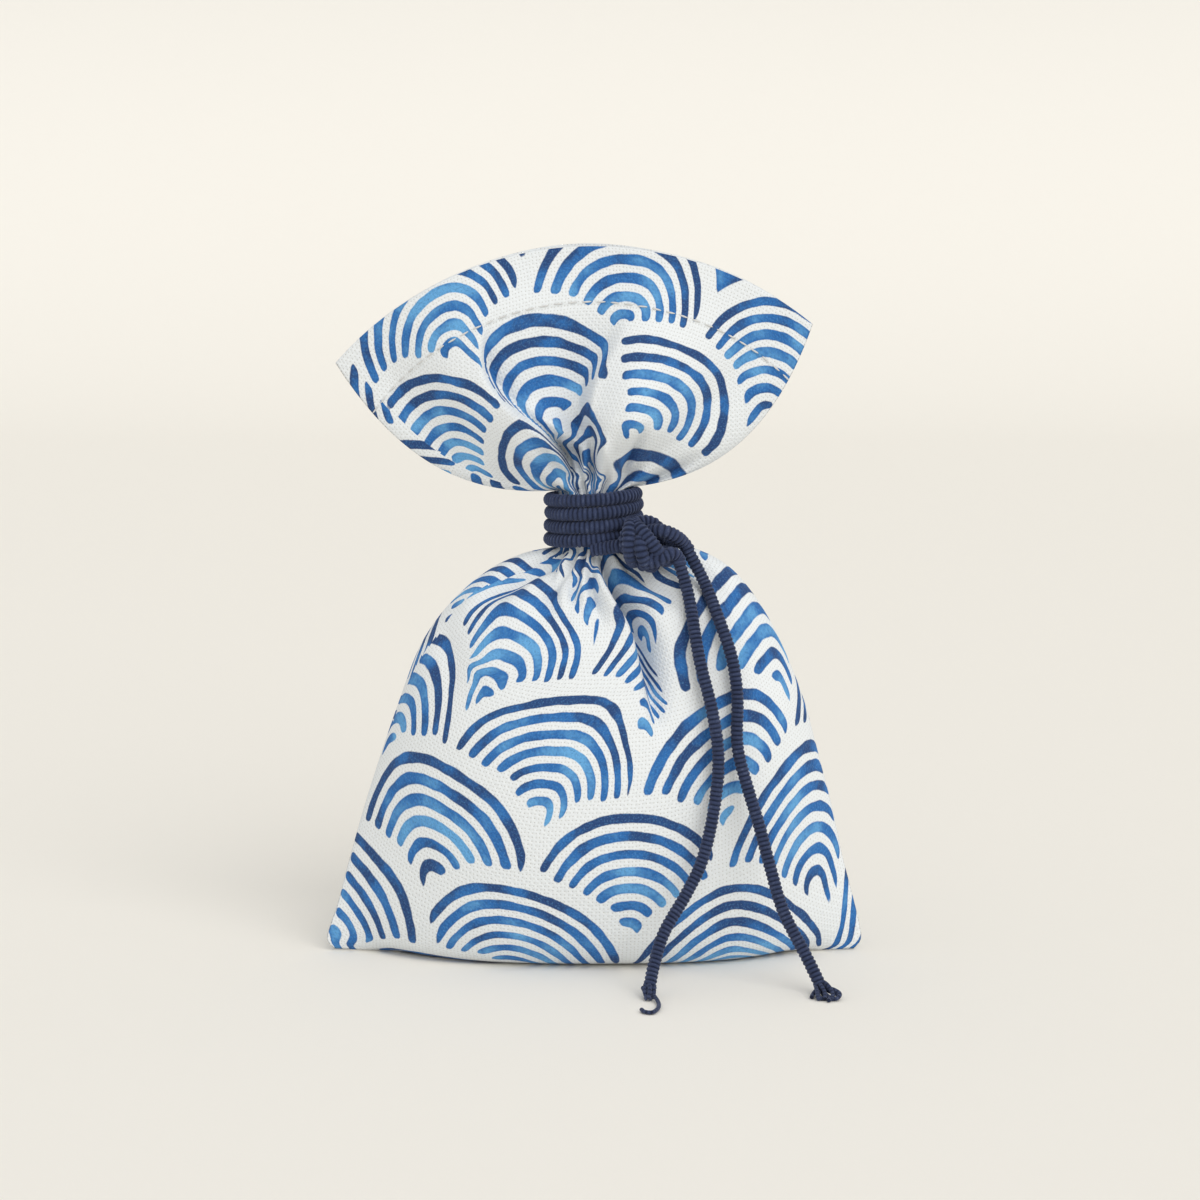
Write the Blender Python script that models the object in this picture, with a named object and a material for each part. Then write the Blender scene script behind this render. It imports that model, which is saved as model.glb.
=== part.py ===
"""Small stuffed cotton pouch, gathered at the neck and tied with a wound cord.

The pouch stands on its own flat spot, front towards -Y, with the origin
under the middle of that spot.  Lengths are in metres.
"""

import math

import bmesh
import bpy
import numpy as np
from mathutils import Matrix, Vector

# Filled body
BODY_WIDTH = 0.0982  # corner to corner, just over the base
BODY_DEPTH = 0.0420  # front to back over the belly
BODY_HEIGHT = 0.0741  # base to the foot of the tied neck

# Tied neck
NECK_RADIUS = 0.0064
NECK_LENGTH = 0.0112
NECK_RISE = math.tan(math.radians(2.29))  # slope of the neck's ends, up to the right

# Open ruffle above the neck
RUFFLE_LENGTH = 0.0434
LEAN_LEFT = math.radians(64.0)  # side edges, from upright
LEAN_RIGHT = math.radians(53.0)
RUFFLE_DEPTH = 0.0215  # front to back where the folds stand furthest out
MOUTH_GAP = 0.0066  # between the two layers at the hem
EDGE_SAG = 0.0072  # the side edges hang below a straight line

# Cloth
CLOTH = 0.0008
LINING_GAP = 0.0003  # least room between the two linings
LAYER_GAP = 0.0009  # least room between the layers besides the cloth
HEM_DEPTH = 0.0110
HEM_THICKNESS = 0.0013
FOLD_DEPTH = 0.0056  # deepest gather of the shoulder
PLEAT_DEPTH = 0.0011  # fine pleats squeezed by the cord

# Cord
CORD_DIAMETER = 0.0023
WRAP_CORD = 0.0020  # the same cord, pulled thin round the neck
WRAP_TURNS = 4.0
WRAP_SPACING = 0.0003
FIT = 0.0004  # cord to cloth
KNOT_CORD = 0.0027  # swollen where it bends back on itself
KNOT_RADIUS = 0.0030
KNOT_SIDE = math.radians(-43.0)  # round the neck from +X
KNOT_STAND = 0.00445  # knot's middle from the outside of the turns
KNOT_RISE = 0.0024  # knot's middle above the foot of the neck
KNOT_TIP = math.radians(-30.0)

COLUMNS = 54
TWO_PI = 2.0 * math.pi

# Filled body from the base up: height, then how far the left, right, front and
# back stand out between the neck (0) and the widest place (1), and how sharply
# each layer closes to the side seams (0.5 an ellipse, more a thin corner).
BODY_PROFILE = [
    (0.000, 0.880, 0.880, 0.240, 0.180, 1.80),
    (0.012, 0.955, 0.955, 0.393, 0.300, 1.72),
    (0.032, 1.000, 1.000, 0.541, 0.463, 1.52),
    (0.067, 0.979, 0.988, 0.676, 0.622, 1.32),
    (0.127, 0.944, 0.962, 0.807, 0.779, 1.13),
    (0.240, 0.890, 0.911, 0.942, 0.930, 0.95),
    (0.373, 0.822, 0.859, 1.000, 1.000, 0.79),
    (0.493, 0.754, 0.803, 0.995, 0.985, 0.67),
    (0.620, 0.676, 0.742, 0.918, 0.900, 0.57),
    (0.744, 0.594, 0.657, 0.766, 0.752, 0.54),
    (0.827, 0.516, 0.585, 0.620, 0.608, 0.53),
    (0.893, 0.397, 0.507, 0.415, 0.430, 0.52),
    (0.941, 0.284, 0.408, 0.225, 0.270, 0.51),
    (0.973, 0.160, 0.270, 0.100, 0.150, 0.50),
    (0.992, 0.060, 0.110, 0.035, 0.055, 0.50),
    (1.000, 0.000, 0.000, 0.000, 0.000, 0.50),
]

# Gathers that run down from the cord: layer (-1 front, 1 back), place across
# the layer at the cord, place where the fold dies out, height where it dies
# out, depth and width.
GATHERS = [
    (-1, -0.80, -0.88, 0.74, 0.50, 0.09),
    (-1, -0.62, -0.48, 0.82, 0.40, 0.08),
    (-1, -0.38, -0.16, 0.80, 0.48, 0.09),
    (-1, -0.12, 0.07, 0.80, 0.48, 0.08),
    (-1, 0.27, 0.35, 0.50, 0.85, 0.11),
    (-1, 0.66, 0.71, 0.80, 0.36, 0.10),
    (1, -0.72, -0.80, 0.64, 0.70, 0.10),
    (1, -0.42, -0.52, 0.54, 0.95, 0.11),
    (1, -0.14, -0.10, 0.76, 0.65, 0.10),
    (1, 0.14, 0.18, 0.48, 1.00, 0.11),
    (1, 0.46, 0.54, 0.72, 0.70, 0.10),
    (1, 0.74, 0.82, 0.66, 0.60, 0.10),
]

# Folds of the ruffle: layer, place at the neck, place at the hem, width,
# how far it stands towards that layer's own side, and how much is left of it
# at the hem.
RUFFLE_FOLDS = [
    (-1, -0.42, -0.62, 0.26, 0.61, 0.45),
    (-1, 0.36, 0.36, 0.26, 0.61, 0.45),
    (-1, 0.72, 0.80, 0.12, -0.18, 0.20),
    (-1, -0.74, -0.86, 0.10, -0.16, 0.30),
    (1, -0.50, -0.62, 0.22, -0.75, 0.60),
    (1, -0.08, -0.12, 0.24, 0.85, 0.60),
    (1, 0.30, 0.34, 0.20, -0.70, 0.50),
    (1, 0.62, 0.70, 0.18, 0.45, 0.50),
]

# The pocket that folds inward at the ruffle's front: share of the way from
# neck to hem, its left and right edges, its depth as a share of the deepest,
# and the place of the roll of cloth that stands in it and the roll's height.
POCKET_DEPTH = 0.0085
POCKET_WALL = 0.0024
ROLL_HEIGHT = 0.0022
POCKET = [
    (0.000, -0.45, -0.05, 0.10, -0.28, 0.00),
    (0.080, -0.42, -0.03, 0.30, -0.21, 0.35),
    (0.160, -0.42, -0.02, 0.90, -0.13, 0.90),
    (0.224, -0.44, -0.02, 1.00, -0.23, 1.00),
    (0.300, -0.47, -0.02, 1.00, -0.36, 1.00),
    (0.380, -0.51, -0.01, 0.98, -0.46, 0.90),
    (0.447, -0.54, 0.01, 0.93, -0.49, 0.50),
    (0.526, -0.57, 0.07, 0.81, -0.52, 0.10),
    (0.618, -0.57, 0.15, 0.60, -0.54, 0.00),
    (0.697, -0.53, 0.19, 0.37, -0.50, 0.00),
    (0.789, -0.47, 0.22, 0.10, -0.45, 0.00),
    (0.868, -0.40, 0.26, 0.00, -0.40, 0.00),
]


def ease(a, b, t):
    """Smooth step from 0 at a to 1 at b."""
    u = np.clip((t - a) / (b - a), 0.0, 1.0)
    return u * u * (3.0 - 2.0 * u)


def through(table, q):
    """Smooth curve through the rows of a table, read at first column q."""
    rows = np.array(table, dtype=float)
    x = rows[:, 0]
    y = rows[:, 1:]
    i = int(np.clip(np.searchsorted(x, q) - 1, 0, len(x) - 2))
    slope = np.gradient(y, x, axis=0)
    h = x[i + 1] - x[i]
    u = (q - x[i]) / h
    a = (1 + 2 * u) * (1 - u) ** 2
    b = u * (1 - u) ** 2
    c = u * u * (3 - 2 * u)
    d = u * u * (u - 1)
    return a * y[i] + b * h * slope[i] + c * y[i + 1] + d * h * slope[i + 1]


def across():
    """Stations across one layer, from the left seam (-1) to the right (1)."""
    t = np.linspace(0.0, 1.0, COLUMNS + 1)
    return 0.25 * (2.0 * t - 1.0) - 0.75 * np.cos(math.pi * t)


def fine_pleats(s, layer):
    """Small pleats of the gathered cloth, 0 on a crest and 1 in a valley."""
    phase = 0.9 if layer < 0 else 2.3
    wave = np.sin(11.0 * s + phase + 0.8 * np.sin(3.1 * s + phase))
    return 0.5 + 0.5 * wave


def layer_curve(s, layer, left, right, depth, power):
    """One layer of a section, before folds."""
    x = np.where(s < 0.0, left, right) * s
    y = layer * depth * np.clip(1.0 - np.abs(s) ** 2.15, 0.0, 1.0) ** power
    return x, y


def body_layer(s, layer, q):
    """Points of one layer of the filled body at height share q."""
    half_width = 0.5 * BODY_WIDTH - NECK_RADIUS
    half_depth = 0.5 * BODY_DEPTH - NECK_RADIUS
    left, right, front, back, power = through(BODY_PROFILE, q)
    left = NECK_RADIUS + left * half_width
    right = NECK_RADIUS + right * half_width
    depth = NECK_RADIUS + (front if layer < 0 else back) * half_depth
    x, y = layer_curve(s, layer, left, right, depth, power)
    e = 1e-4
    xa, ya = layer_curve(np.clip(s - e, -1, 1), layer, left, right, depth, power)
    xb, yb = layer_curve(np.clip(s + e, -1, 1), layer, left, right, depth, power)
    nx = -layer * (yb - ya)
    ny = layer * (xb - xa)
    size = np.hypot(nx, ny)
    nx = nx / size
    ny = ny / size
    inward = np.zeros_like(s)
    for side, at_cord, at_end, reach, deep, wide in GATHERS:
        if side != layer:
            continue
        place = at_cord + (at_end - at_cord) * min(1.0, (1.0 - q) / (1.0 - reach)) ** 0.7
        grow = ease(reach - 0.04, reach + 0.22, q) * (1.0 - 0.85 * ease(0.93, 1.0, q))
        dip = np.exp(-(np.abs(s - place) / wide) ** 1.6)
        brim = np.exp(-(np.abs(s - place) / (2.2 * wide)) ** 2.0)
        inward = inward + deep * FOLD_DEPTH * grow * (dip - 0.45 * brim)
    squeeze = ease(0.80, 1.0, q)
    inward = inward + PLEAT_DEPTH * squeeze * fine_pleats(s, layer)
    seam = ease(0.0, 0.10, 1.0 - np.abs(s))
    x = x - nx * inward * seam
    y = y - ny * inward * seam
    rise = NECK_RISE * ease(0.85, 1.0, q)
    z = q * BODY_HEIGHT + rise * x
    if q <= 0.0:
        z = np.zeros_like(s)
    return x, y, z


def neck_layer(s, layer, q):
    """Points of one layer of the tied neck at height share q."""
    waist = NECK_RADIUS * (1.0 - 0.03 * math.sin(math.pi * q))
    seam = ease(0.0, 0.10, 1.0 - np.abs(s))
    radius = waist - PLEAT_DEPTH * fine_pleats(s, layer) * seam
    even = np.clip(1.0 - np.abs(s) ** 2.15, 0.0, 1.0) ** 0.5
    x = radius * s
    y = layer * radius * even
    reach = np.hypot(x, y)
    over = np.maximum(1.0, reach / waist)
    return x / over, y / over, BODY_HEIGHT + q * NECK_LENGTH + NECK_RISE * x


def ruffle_frame(s, r):
    """Place of the fan line s at share r of the way from neck to hem."""
    top = BODY_HEIGHT + NECK_LENGTH
    lean = np.where(s < 0.0, LEAN_LEFT, LEAN_RIGHT) * s
    reach = RUFFLE_LENGTH * (1.0 + 0.16 * (lean / math.radians(60.0)) ** 2)
    root_x = NECK_RADIUS * s
    root_z = top + NECK_RISE * root_x
    hem_x = reach * np.sin(lean)
    hem_z = top + reach * np.cos(lean)
    along_x = hem_x - root_x
    along_z = hem_z - root_z
    size = np.hypot(along_x, along_z)
    side = np.sign(s)
    down_x = side * along_z / size
    down_z = -side * along_x / size
    sag = EDGE_SAG * np.abs(s) ** 2.2 * 4.0 * r * (1.0 - r) * (1.15 - 0.3 * r)
    x = root_x + along_x * r + down_x * sag
    z = root_z + along_z * r + down_z * sag
    return x, z


def ruffle_depths(s, r):
    """Front and back of the ruffle, in Y, for fan line s at share r."""
    half = 0.5 * RUFFLE_DEPTH
    swell = NECK_RADIUS + (half - NECK_RADIUS) * float(ease(0.0, 0.32, r))
    swell = swell + (0.5 * MOUTH_GAP - swell) * float(ease(0.30, 1.0, r)) ** 0.8
    power = 0.5 + 0.3 * float(ease(0.0, 0.6, r))
    window = np.clip(1.0 - np.abs(s) ** 2.15, 0.0, 1.0)
    out = []
    for layer in (-1, 1):
        y = swell * window ** power
        size = 0.42 * RUFFLE_DEPTH * float(ease(0.0, 0.30, r))
        for side, at_neck, at_hem, wide, tall, left_over in RUFFLE_FOLDS:
            if side != layer:
                continue
            place = at_neck + (at_hem - at_neck) * r
            fade = 1.0 - (1.0 - left_over) * float(ease(0.35, 1.0, r))
            bump = np.exp(-(np.abs(s - place) / wide) ** 2.0)
            y = y + size * tall * fade * bump * window ** 0.5
        fine = PLEAT_DEPTH * (1.0 - float(ease(0.15, 0.55, r)))
        fine = fine * (1.0 + 0.6 * float(ease(0.0, 0.12, r)))
        seam = ease(0.0, 0.10, 1.0 - np.abs(s))
        y = y - fine * fine_pleats(s, layer) * seam
        out.append(layer * y)
    front, back = out
    front = front + pocket_depth(s, r)
    least = (2.0 * CLOTH + LAYER_GAP) * np.clip(8.0 * (1.0 - np.abs(s)), 0.0, 1.0)
    return front, np.maximum(back, front + least)


def pocket_depth(s, r):
    """How far the front of the ruffle folds inward at fan line s, share r."""
    rows = np.array(POCKET)
    left, right, deep, roll, stands = [np.interp(r, rows[:, 0], rows[:, k]) for k in range(1, 6)]
    edges, _ = ruffle_frame(np.array([-1.0, 1.0]), r)
    wall = 2.0 * POCKET_WALL / (edges[1] - edges[0])
    inside = ease(left - 0.3 * wall, left + wall, s)
    inside = inside * (1.0 - ease(right - 1.4 * wall, right + 0.3 * wall, s))
    bump = np.exp(-((s - roll) / wall) ** 2.0)
    return POCKET_DEPTH * deep * inside - ROLL_HEIGHT * stands * bump * inside


def ring_of(front, back):
    """One closed ring, along the front to the right and back behind."""
    a = np.stack(front, axis=1)
    b = np.stack(back, axis=1)[1:-1][::-1]
    return np.concatenate([a, b], axis=0)


def ruffle_ring(s, r):
    """Outer ring of the ruffle."""
    x, z = ruffle_frame(s, r)
    front, back = ruffle_depths(s, r)
    return ring_of((x, front, z), (x, back, z))


def lining_ring(s, r, wall):
    """Inner ring of the ruffle, a cloth's thickness inside the outer one."""
    inset = s * (1.0 - 0.035)
    x, z = ruffle_frame(inset, r)
    front, back = ruffle_depths(inset, r)
    e = 1e-3
    xa, _ = ruffle_frame(np.clip(inset - e, -1, 1), r)
    xb, _ = ruffle_frame(np.clip(inset + e, -1, 1), r)
    fa, ba = ruffle_depths(np.clip(inset - e, -1, 1), r)
    fb, bb = ruffle_depths(np.clip(inset + e, -1, 1), r)
    steep_f = np.minimum(np.hypot(1.0, (fb - fa) / (xb - xa)), 2.2)
    steep_b = np.minimum(np.hypot(1.0, (bb - ba) / (xb - xa)), 2.2)
    middle = 0.5 * (front + back)
    room = np.maximum(0.0, 0.5 * (back - front - LINING_GAP))
    inner_f = middle - np.maximum(room - wall * steep_f, 0.0) - 0.5 * LINING_GAP
    inner_b = middle + np.maximum(room - wall * steep_b, 0.0) + 0.5 * LINING_GAP
    inner_f[0] = inner_b[0] = middle[0]
    inner_f[-1] = inner_b[-1] = middle[-1]
    return ring_of((x, inner_f, z), (x, inner_b, z))


def join_rings(bm, lower, upper):
    """A band of faces between two rings, facing out when upper is above."""
    n = len(lower)
    for i in range(n):
        j = (i + 1) % n
        bm.faces.new((lower[i], lower[j], upper[j], upper[i]))


def make_bag():
    """The sewn bag: filled body, tied neck and open ruffle as one solid."""
    s = across()
    rings = []
    body_rows = [row[0] for row in BODY_PROFILE[:4]]
    body_rows += list(np.linspace(0.105, 0.72, 13))
    body_rows += [0.76, 0.80, 0.835, 0.868, 0.898, 0.925, 0.948, 0.968, 0.985]
    for q in body_rows:
        rings.append(ring_of(body_layer(s, -1, q), body_layer(s, 1, q)))
    for q in np.linspace(0.0, 1.0, 5):
        rings.append(ring_of(neck_layer(s, -1, q), neck_layer(s, 1, q)))
    hem_share = HEM_DEPTH / RUFFLE_LENGTH
    outer = list(np.linspace(0.06, 1.0 - hem_share, 10))
    outer += [1.0 - 0.5 * hem_share, 1.0]
    for r in outer:
        rings.append(ruffle_ring(s, r))
    inner = [1.0, 1.0 - 0.5 * hem_share, 1.0 - hem_share]
    for r in inner:
        rings.append(lining_ring(s, r, HEM_THICKNESS))
    for r in np.linspace(1.0 - hem_share - 0.03, 0.16, 7):
        rings.append(lining_ring(s, r, CLOTH))

    bm = bmesh.new()
    loops = [[bm.verts.new(p) for p in ring] for ring in rings]
    for lower, upper in zip(loops, loops[1:]):
        join_rings(bm, lower, upper)
    bm.faces.new(list(reversed(loops[0])))
    last = loops[-1]
    n = len(last)
    for i in range(COLUMNS):
        a = last[i]
        b = last[i + 1]
        c = last[(n - i - 1) % n]
        d = last[(n - i) % n]
        corners = []
        for v in (a, b, c, d):
            if v not in corners:
                corners.append(v)
        bm.faces.new(corners)
    bmesh.ops.recalc_face_normals(bm, faces=bm.faces)
    mesh = bpy.data.meshes.new("pouch_bag")
    bm.to_mesh(mesh)
    bm.free()
    mesh.shade_smooth()
    return bpy.data.objects.new("pouch_bag", mesh)


def cord(name, points, diameter, closed=False):
    """A round cord along points, with flat ends."""
    curve = bpy.data.curves.new(name, "CURVE")
    curve.dimensions = "3D"
    curve.bevel_depth = 0.5 * diameter
    curve.bevel_resolution = 2
    curve.use_fill_caps = not closed
    spline = curve.splines.new("POLY")
    spline.points.add(len(points) - 1)
    for point, place in zip(spline.points, points):
        point.co = (place[0], place[1], place[2], 1.0)
    spline.use_cyclic_u = closed
    return bpy.data.objects.new(name, curve)


def smooth_route(route, spacing):
    """Points at even spacing on a smooth curve through the route's points."""
    pts = [Vector(p) for p in route]
    ends = [2 * pts[0] - pts[1]] + pts + [2 * pts[-1] - pts[-2]]
    fine = []
    for k in range(len(pts) - 1):
        a, b, c, d = ends[k:k + 4]
        for i in range(20):
            t = i / 20
            fine.append(0.5 * (2 * b + (c - a) * t + (2 * a - 5 * b + 4 * c - d) * t ** 2
                               + (3 * b - a - 3 * c + d) * t ** 3))
    fine.append(pts[-1])
    run = [0.0]
    for a, b in zip(fine, fine[1:]):
        run.append(run[-1] + (b - a).length)
    count = max(2, round(run[-1] / spacing))
    out = []
    for i in range(count + 1):
        at = run[-1] * i / count
        k = min(int(np.searchsorted(run, at)), len(run) - 1)
        k = max(k, 1)
        t = (at - run[k - 1]) / max(run[k] - run[k - 1], 1e-9)
        out.append(fine[k - 1].lerp(fine[k], min(max(t, 0.0), 1.0)))
    return out


def make_wraps():
    """The cord wound round the neck, turn on turn, rising to the right."""
    radius = NECK_RADIUS + FIT + 0.5 * WRAP_CORD
    pitch = WRAP_CORD + WRAP_SPACING
    start = math.radians(-50.0)
    steps = round(22 * WRAP_TURNS)
    height = pitch * WRAP_TURNS + WRAP_CORD
    foot = BODY_HEIGHT + 0.5 * (NECK_LENGTH - height) + 0.5 * WRAP_CORD
    points = []
    for i in range(steps + 1):
        turn = WRAP_TURNS * i / steps
        angle = start + TWO_PI * turn
        x = radius * math.cos(angle)
        y = radius * math.sin(angle)
        points.append((x, y, foot + pitch * turn + NECK_RISE * x))
    return cord("cord_wraps", points, WRAP_CORD)


def make_knot():
    """The pulled-up overhand knot, a closed three-lobed loop of the cord."""
    points = []
    for i in range(48):
        t = TWO_PI * i / 48
        reach = KNOT_RADIUS * (1.0 + 0.36 * math.cos(3 * t))
        points.append(Vector((1.2 * reach * math.cos(2 * t), 0.52 * KNOT_RADIUS * math.sin(3 * t),
                              reach * math.sin(2 * t))))
    out = NECK_RADIUS + FIT + WRAP_CORD + KNOT_STAND
    middle = Vector((out * math.cos(KNOT_SIDE), out * math.sin(KNOT_SIDE), BODY_HEIGHT + KNOT_RISE))
    turn = Matrix.Rotation(KNOT_SIDE + 0.5 * math.pi, 4, "Z") @ Matrix.Rotation(KNOT_TIP, 4, "X")
    place = Matrix.Translation(middle) @ turn
    return cord("cord_knot", [place @ p for p in points], KNOT_CORD, closed=True)


# The two tails, each from the knot down the front to the table
TAIL_LEFT = [
    (0.0148, -0.0109, 0.0743),
    (0.0167, -0.0121, 0.0677),
    (0.0185, -0.0167, 0.0574),
    (0.0208, -0.0188, 0.0481),
    (0.0219, -0.0197, 0.0400),
    (0.0212, -0.0207, 0.0314),
    (0.0192, -0.0222, 0.0226),
    (0.0163, -0.0242, 0.0167),
    (0.0124, -0.0272, 0.0106),
    (0.0106, -0.0297, 0.0056),
    (0.0095, -0.0325, 0.0010),
]
TAIL_RIGHT = [
    (0.0161, -0.0088, 0.0763),
    (0.0194, -0.0092, 0.0700),
    (0.0220, -0.0124, 0.0637),
    (0.0243, -0.0146, 0.0571),
    (0.0253, -0.0161, 0.0504),
    (0.0253, -0.0180, 0.0419),
    (0.0271, -0.0193, 0.0345),
    (0.0290, -0.0206, 0.0284),
    (0.0311, -0.0228, 0.0206),
    (0.0333, -0.0252, 0.0135),
    (0.0373, -0.0282, 0.0060),
    (0.0398, -0.0305, 0.0011),
]


def fabric(name, colour, roughness):
    """A plain cloth material."""
    material = bpy.data.materials.new(name)
    material.use_nodes = True
    shader = material.node_tree.nodes["Principled BSDF"]
    shader.inputs["Base Color"].default_value = (*colour, 1.0)
    shader.inputs["Roughness"].default_value = roughness
    shader.inputs["Metallic"].default_value = 0.0
    material.diffuse_color = (*colour, 1.0)
    return material


def main():
    """Build the pouch."""
    for item in list(bpy.data.objects):
        bpy.data.objects.remove(item, do_unlink=True)
    group = bpy.data.collections.new("pouch")
    bpy.context.scene.collection.children.link(group)

    bag = make_bag()
    wraps = make_wraps()
    knot = make_knot()
    tail_left = cord("cord_tail_left", smooth_route(TAIL_LEFT, 0.0048), CORD_DIAMETER)
    tail_right = cord("cord_tail_right", smooth_route(TAIL_RIGHT, 0.0048), CORD_DIAMETER)

    looks = [
        (bag, "printed_cotton", (0.62, 0.70, 0.80), 0.92),
        (wraps, "navy_wraps", (0.018, 0.028, 0.085), 0.85),
        (knot, "navy_knot", (0.018, 0.028, 0.085), 0.85),
        (tail_left, "navy_tail_left", (0.018, 0.028, 0.085), 0.85),
        (tail_right, "navy_tail_right", (0.018, 0.028, 0.085), 0.85),
    ]
    for piece, name, colour, roughness in looks:
        piece.data.materials.append(fabric(name, colour, roughness))
        group.objects.link(piece)


main()
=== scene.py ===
"""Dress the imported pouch: printed cotton, wound navy cord, pale stage."""

import math

import bpy
import numpy as np
from bpy.props import FloatProperty, FloatVectorProperty, PointerProperty
from bpy.types import Operator, Panel, PropertyGroup
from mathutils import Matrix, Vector


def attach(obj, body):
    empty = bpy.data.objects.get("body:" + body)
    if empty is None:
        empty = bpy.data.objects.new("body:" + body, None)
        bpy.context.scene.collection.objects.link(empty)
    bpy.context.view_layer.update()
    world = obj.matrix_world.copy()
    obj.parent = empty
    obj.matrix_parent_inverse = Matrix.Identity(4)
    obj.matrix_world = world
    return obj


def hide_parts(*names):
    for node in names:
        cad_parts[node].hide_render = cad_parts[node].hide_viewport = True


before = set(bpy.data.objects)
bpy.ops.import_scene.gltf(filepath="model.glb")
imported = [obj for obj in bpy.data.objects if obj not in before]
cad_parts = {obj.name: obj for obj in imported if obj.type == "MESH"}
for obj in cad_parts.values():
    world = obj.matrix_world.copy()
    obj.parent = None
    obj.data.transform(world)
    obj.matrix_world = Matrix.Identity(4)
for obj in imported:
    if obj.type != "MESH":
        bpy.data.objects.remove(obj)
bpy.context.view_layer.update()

bl_info = {
    "name": "Tied cotton pouch",
    "version": (1, 0, 0),
    "blender": (4, 5, 0),
    "location": "View3D > Sidebar > Pouch",
    "description": "Builds a stuffed printed pouch with its wound cord and tails",
    "category": "Add Mesh",
}

MM = 0.001

# Grid of each layer, and the flat cloth in mm: from base to tie, under the tie,
# from tie to hem, and across one panel.
COLUMNS = 184
BODY_ROWS = 124
NECK_ROWS = 8
RUFFLE_ROWS = 76
BODY_LENGTH = 91.0
NECK_CLOTH = 11.0
RUFFLE_CLOTH = 48.0
PANEL = 100.0

# Outline of the filled body, corner to tie, in millimetres across and up.
EDGE_LEFT = [(-47.6, 0.4), (-48.9, 2.2), (-48.2, 5.0), (-46.7, 9.5), (-44.4, 18.0), (-41.5, 28.0),
             (-38.6, 37.0), (-35.3, 46.5), (-31.8, 55.8), (-28.0, 62.0), (-23.4, 67.0),
             (-18.6, 70.7), (-13.4, 73.2), (-9.4, 74.2), (-6.4, 74.6)]
EDGE_RIGHT = [(47.6, 0.4), (48.9, 2.2), (48.6, 5.0), (47.5, 9.5), (45.3, 18.0), (43.1, 28.0),
              (40.7, 37.0), (38.1, 46.5), (34.5, 55.8), (31.4, 62.0), (28.1, 67.0),
              (24.2, 71.2), (18.9, 74.1), (12.0, 75.4), (6.4, 75.3)]
# Middle of each layer, from the seam under the base to the tie: out and up.
MIDDLE_FRONT = [(0.0, 0.0), (5.0, 0.0), (9.5, 0.1), (13.4, 1.6), (16.3, 5.0), (18.2, 9.5),
                (20.2, 18.0), (21.0, 28.0), (20.9, 37.0), (19.7, 46.5), (17.4, 55.8),
                (15.2, 62.0), (12.5, 67.2), (9.8, 71.0), (7.9, 73.0), (6.4, 75.0)]
MIDDLE_BACK = [(0.0, 0.0), (4.0, 0.0), (8.0, 0.1), (12.4, 1.8), (15.5, 5.0), (17.8, 9.5),
               (20.0, 18.0), (21.0, 28.0), (20.7, 37.0), (19.4, 46.5), (17.2, 55.8),
               (15.0, 62.0), (12.6, 67.0), (10.2, 70.8), (8.2, 73.0), (6.4, 75.0)]


def ease(a, b, t):
    """Smooth step from 0 at a to 1 at b."""
    u = np.clip((np.asarray(t, dtype=float) - a) / (b - a), 0.0, 1.0)
    return u * u * (3.0 - 2.0 * u)


def smooth_line(points, per_span=24):
    """Dense points on a smooth curve through the given ones."""
    p = np.asarray(points, dtype=float)
    p = np.vstack([2 * p[0] - p[1], p, 2 * p[-1] - p[-2]])
    t = np.arange(per_span)[:, None] / per_span
    spans = []
    for k in range(len(p) - 3):
        a, b, c, d = p[k:k + 4]
        spans.append(0.5 * (2 * b + (c - a) * t + (2 * a - 5 * b + 4 * c - d) * t ** 2
                            + (3 * b - a - 3 * c + d) * t ** 3))
    return np.vstack(spans + [p[-2][None]])


def along(line, share):
    """Points at shares of the length of a dense line."""
    steps = np.linalg.norm(np.diff(line, axis=0), axis=1)
    run = np.concatenate([[0.0], np.cumsum(steps)])
    want = np.asarray(share) * run[-1]
    return np.stack([np.interp(want, run, line[:, k]) for k in range(line.shape[1])], axis=-1)


# Camera in mm, and the square front view that the folds are drawn on.
EYE = np.array([1.1, -600.0, 157.0])
AIM = np.array([1.1, 0.0, 65.0])
LENS = 101.0
SENSOR = 36.0
VIEW_PIXELS = 1200.0
PIXEL_MM = 0.179


def front_view(points):
    """Where points (mm) fall in the front view, in pixels."""
    ahead = (AIM - EYE) / np.linalg.norm(AIM - EYE)
    right = np.array([1.0, 0.0, 0.0])
    up = np.cross(right, ahead)
    d = points - EYE
    k = LENS / SENSOR * VIEW_PIXELS / (d @ ahead)
    middle = 0.5 * VIEW_PIXELS
    return middle + k * (d @ right), middle - k * (d @ up)


def fold_distance(px, py, line):
    """Signed distance in mm from a drawn line, right side positive, and share along it."""
    dense = smooth_line(line, 6)
    best = np.full(px.shape, 1e9)
    side = np.zeros(px.shape)
    share = np.zeros(px.shape)
    n = len(dense) - 1
    for k in range(n):
        ax, ay = dense[k][:2]
        bx, by = dense[k + 1][:2]
        dx, dy = bx - ax, by - ay
        size = dx * dx + dy * dy + 1e-9
        t = np.clip(((px - ax) * dx + (py - ay) * dy) / size, 0.0, 1.0)
        ex, ey = px - ax - t * dx, py - ay - t * dy
        dist = np.hypot(ex, ey)
        nearer = dist < best
        best = np.where(nearer, dist, best)
        side = np.where(nearer, np.sign(dx * ey - dy * ex) * -1.0, side)
        share = np.where(nearer, (k + t) / n, share)
    return best * side * PIXEL_MM, share


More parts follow.
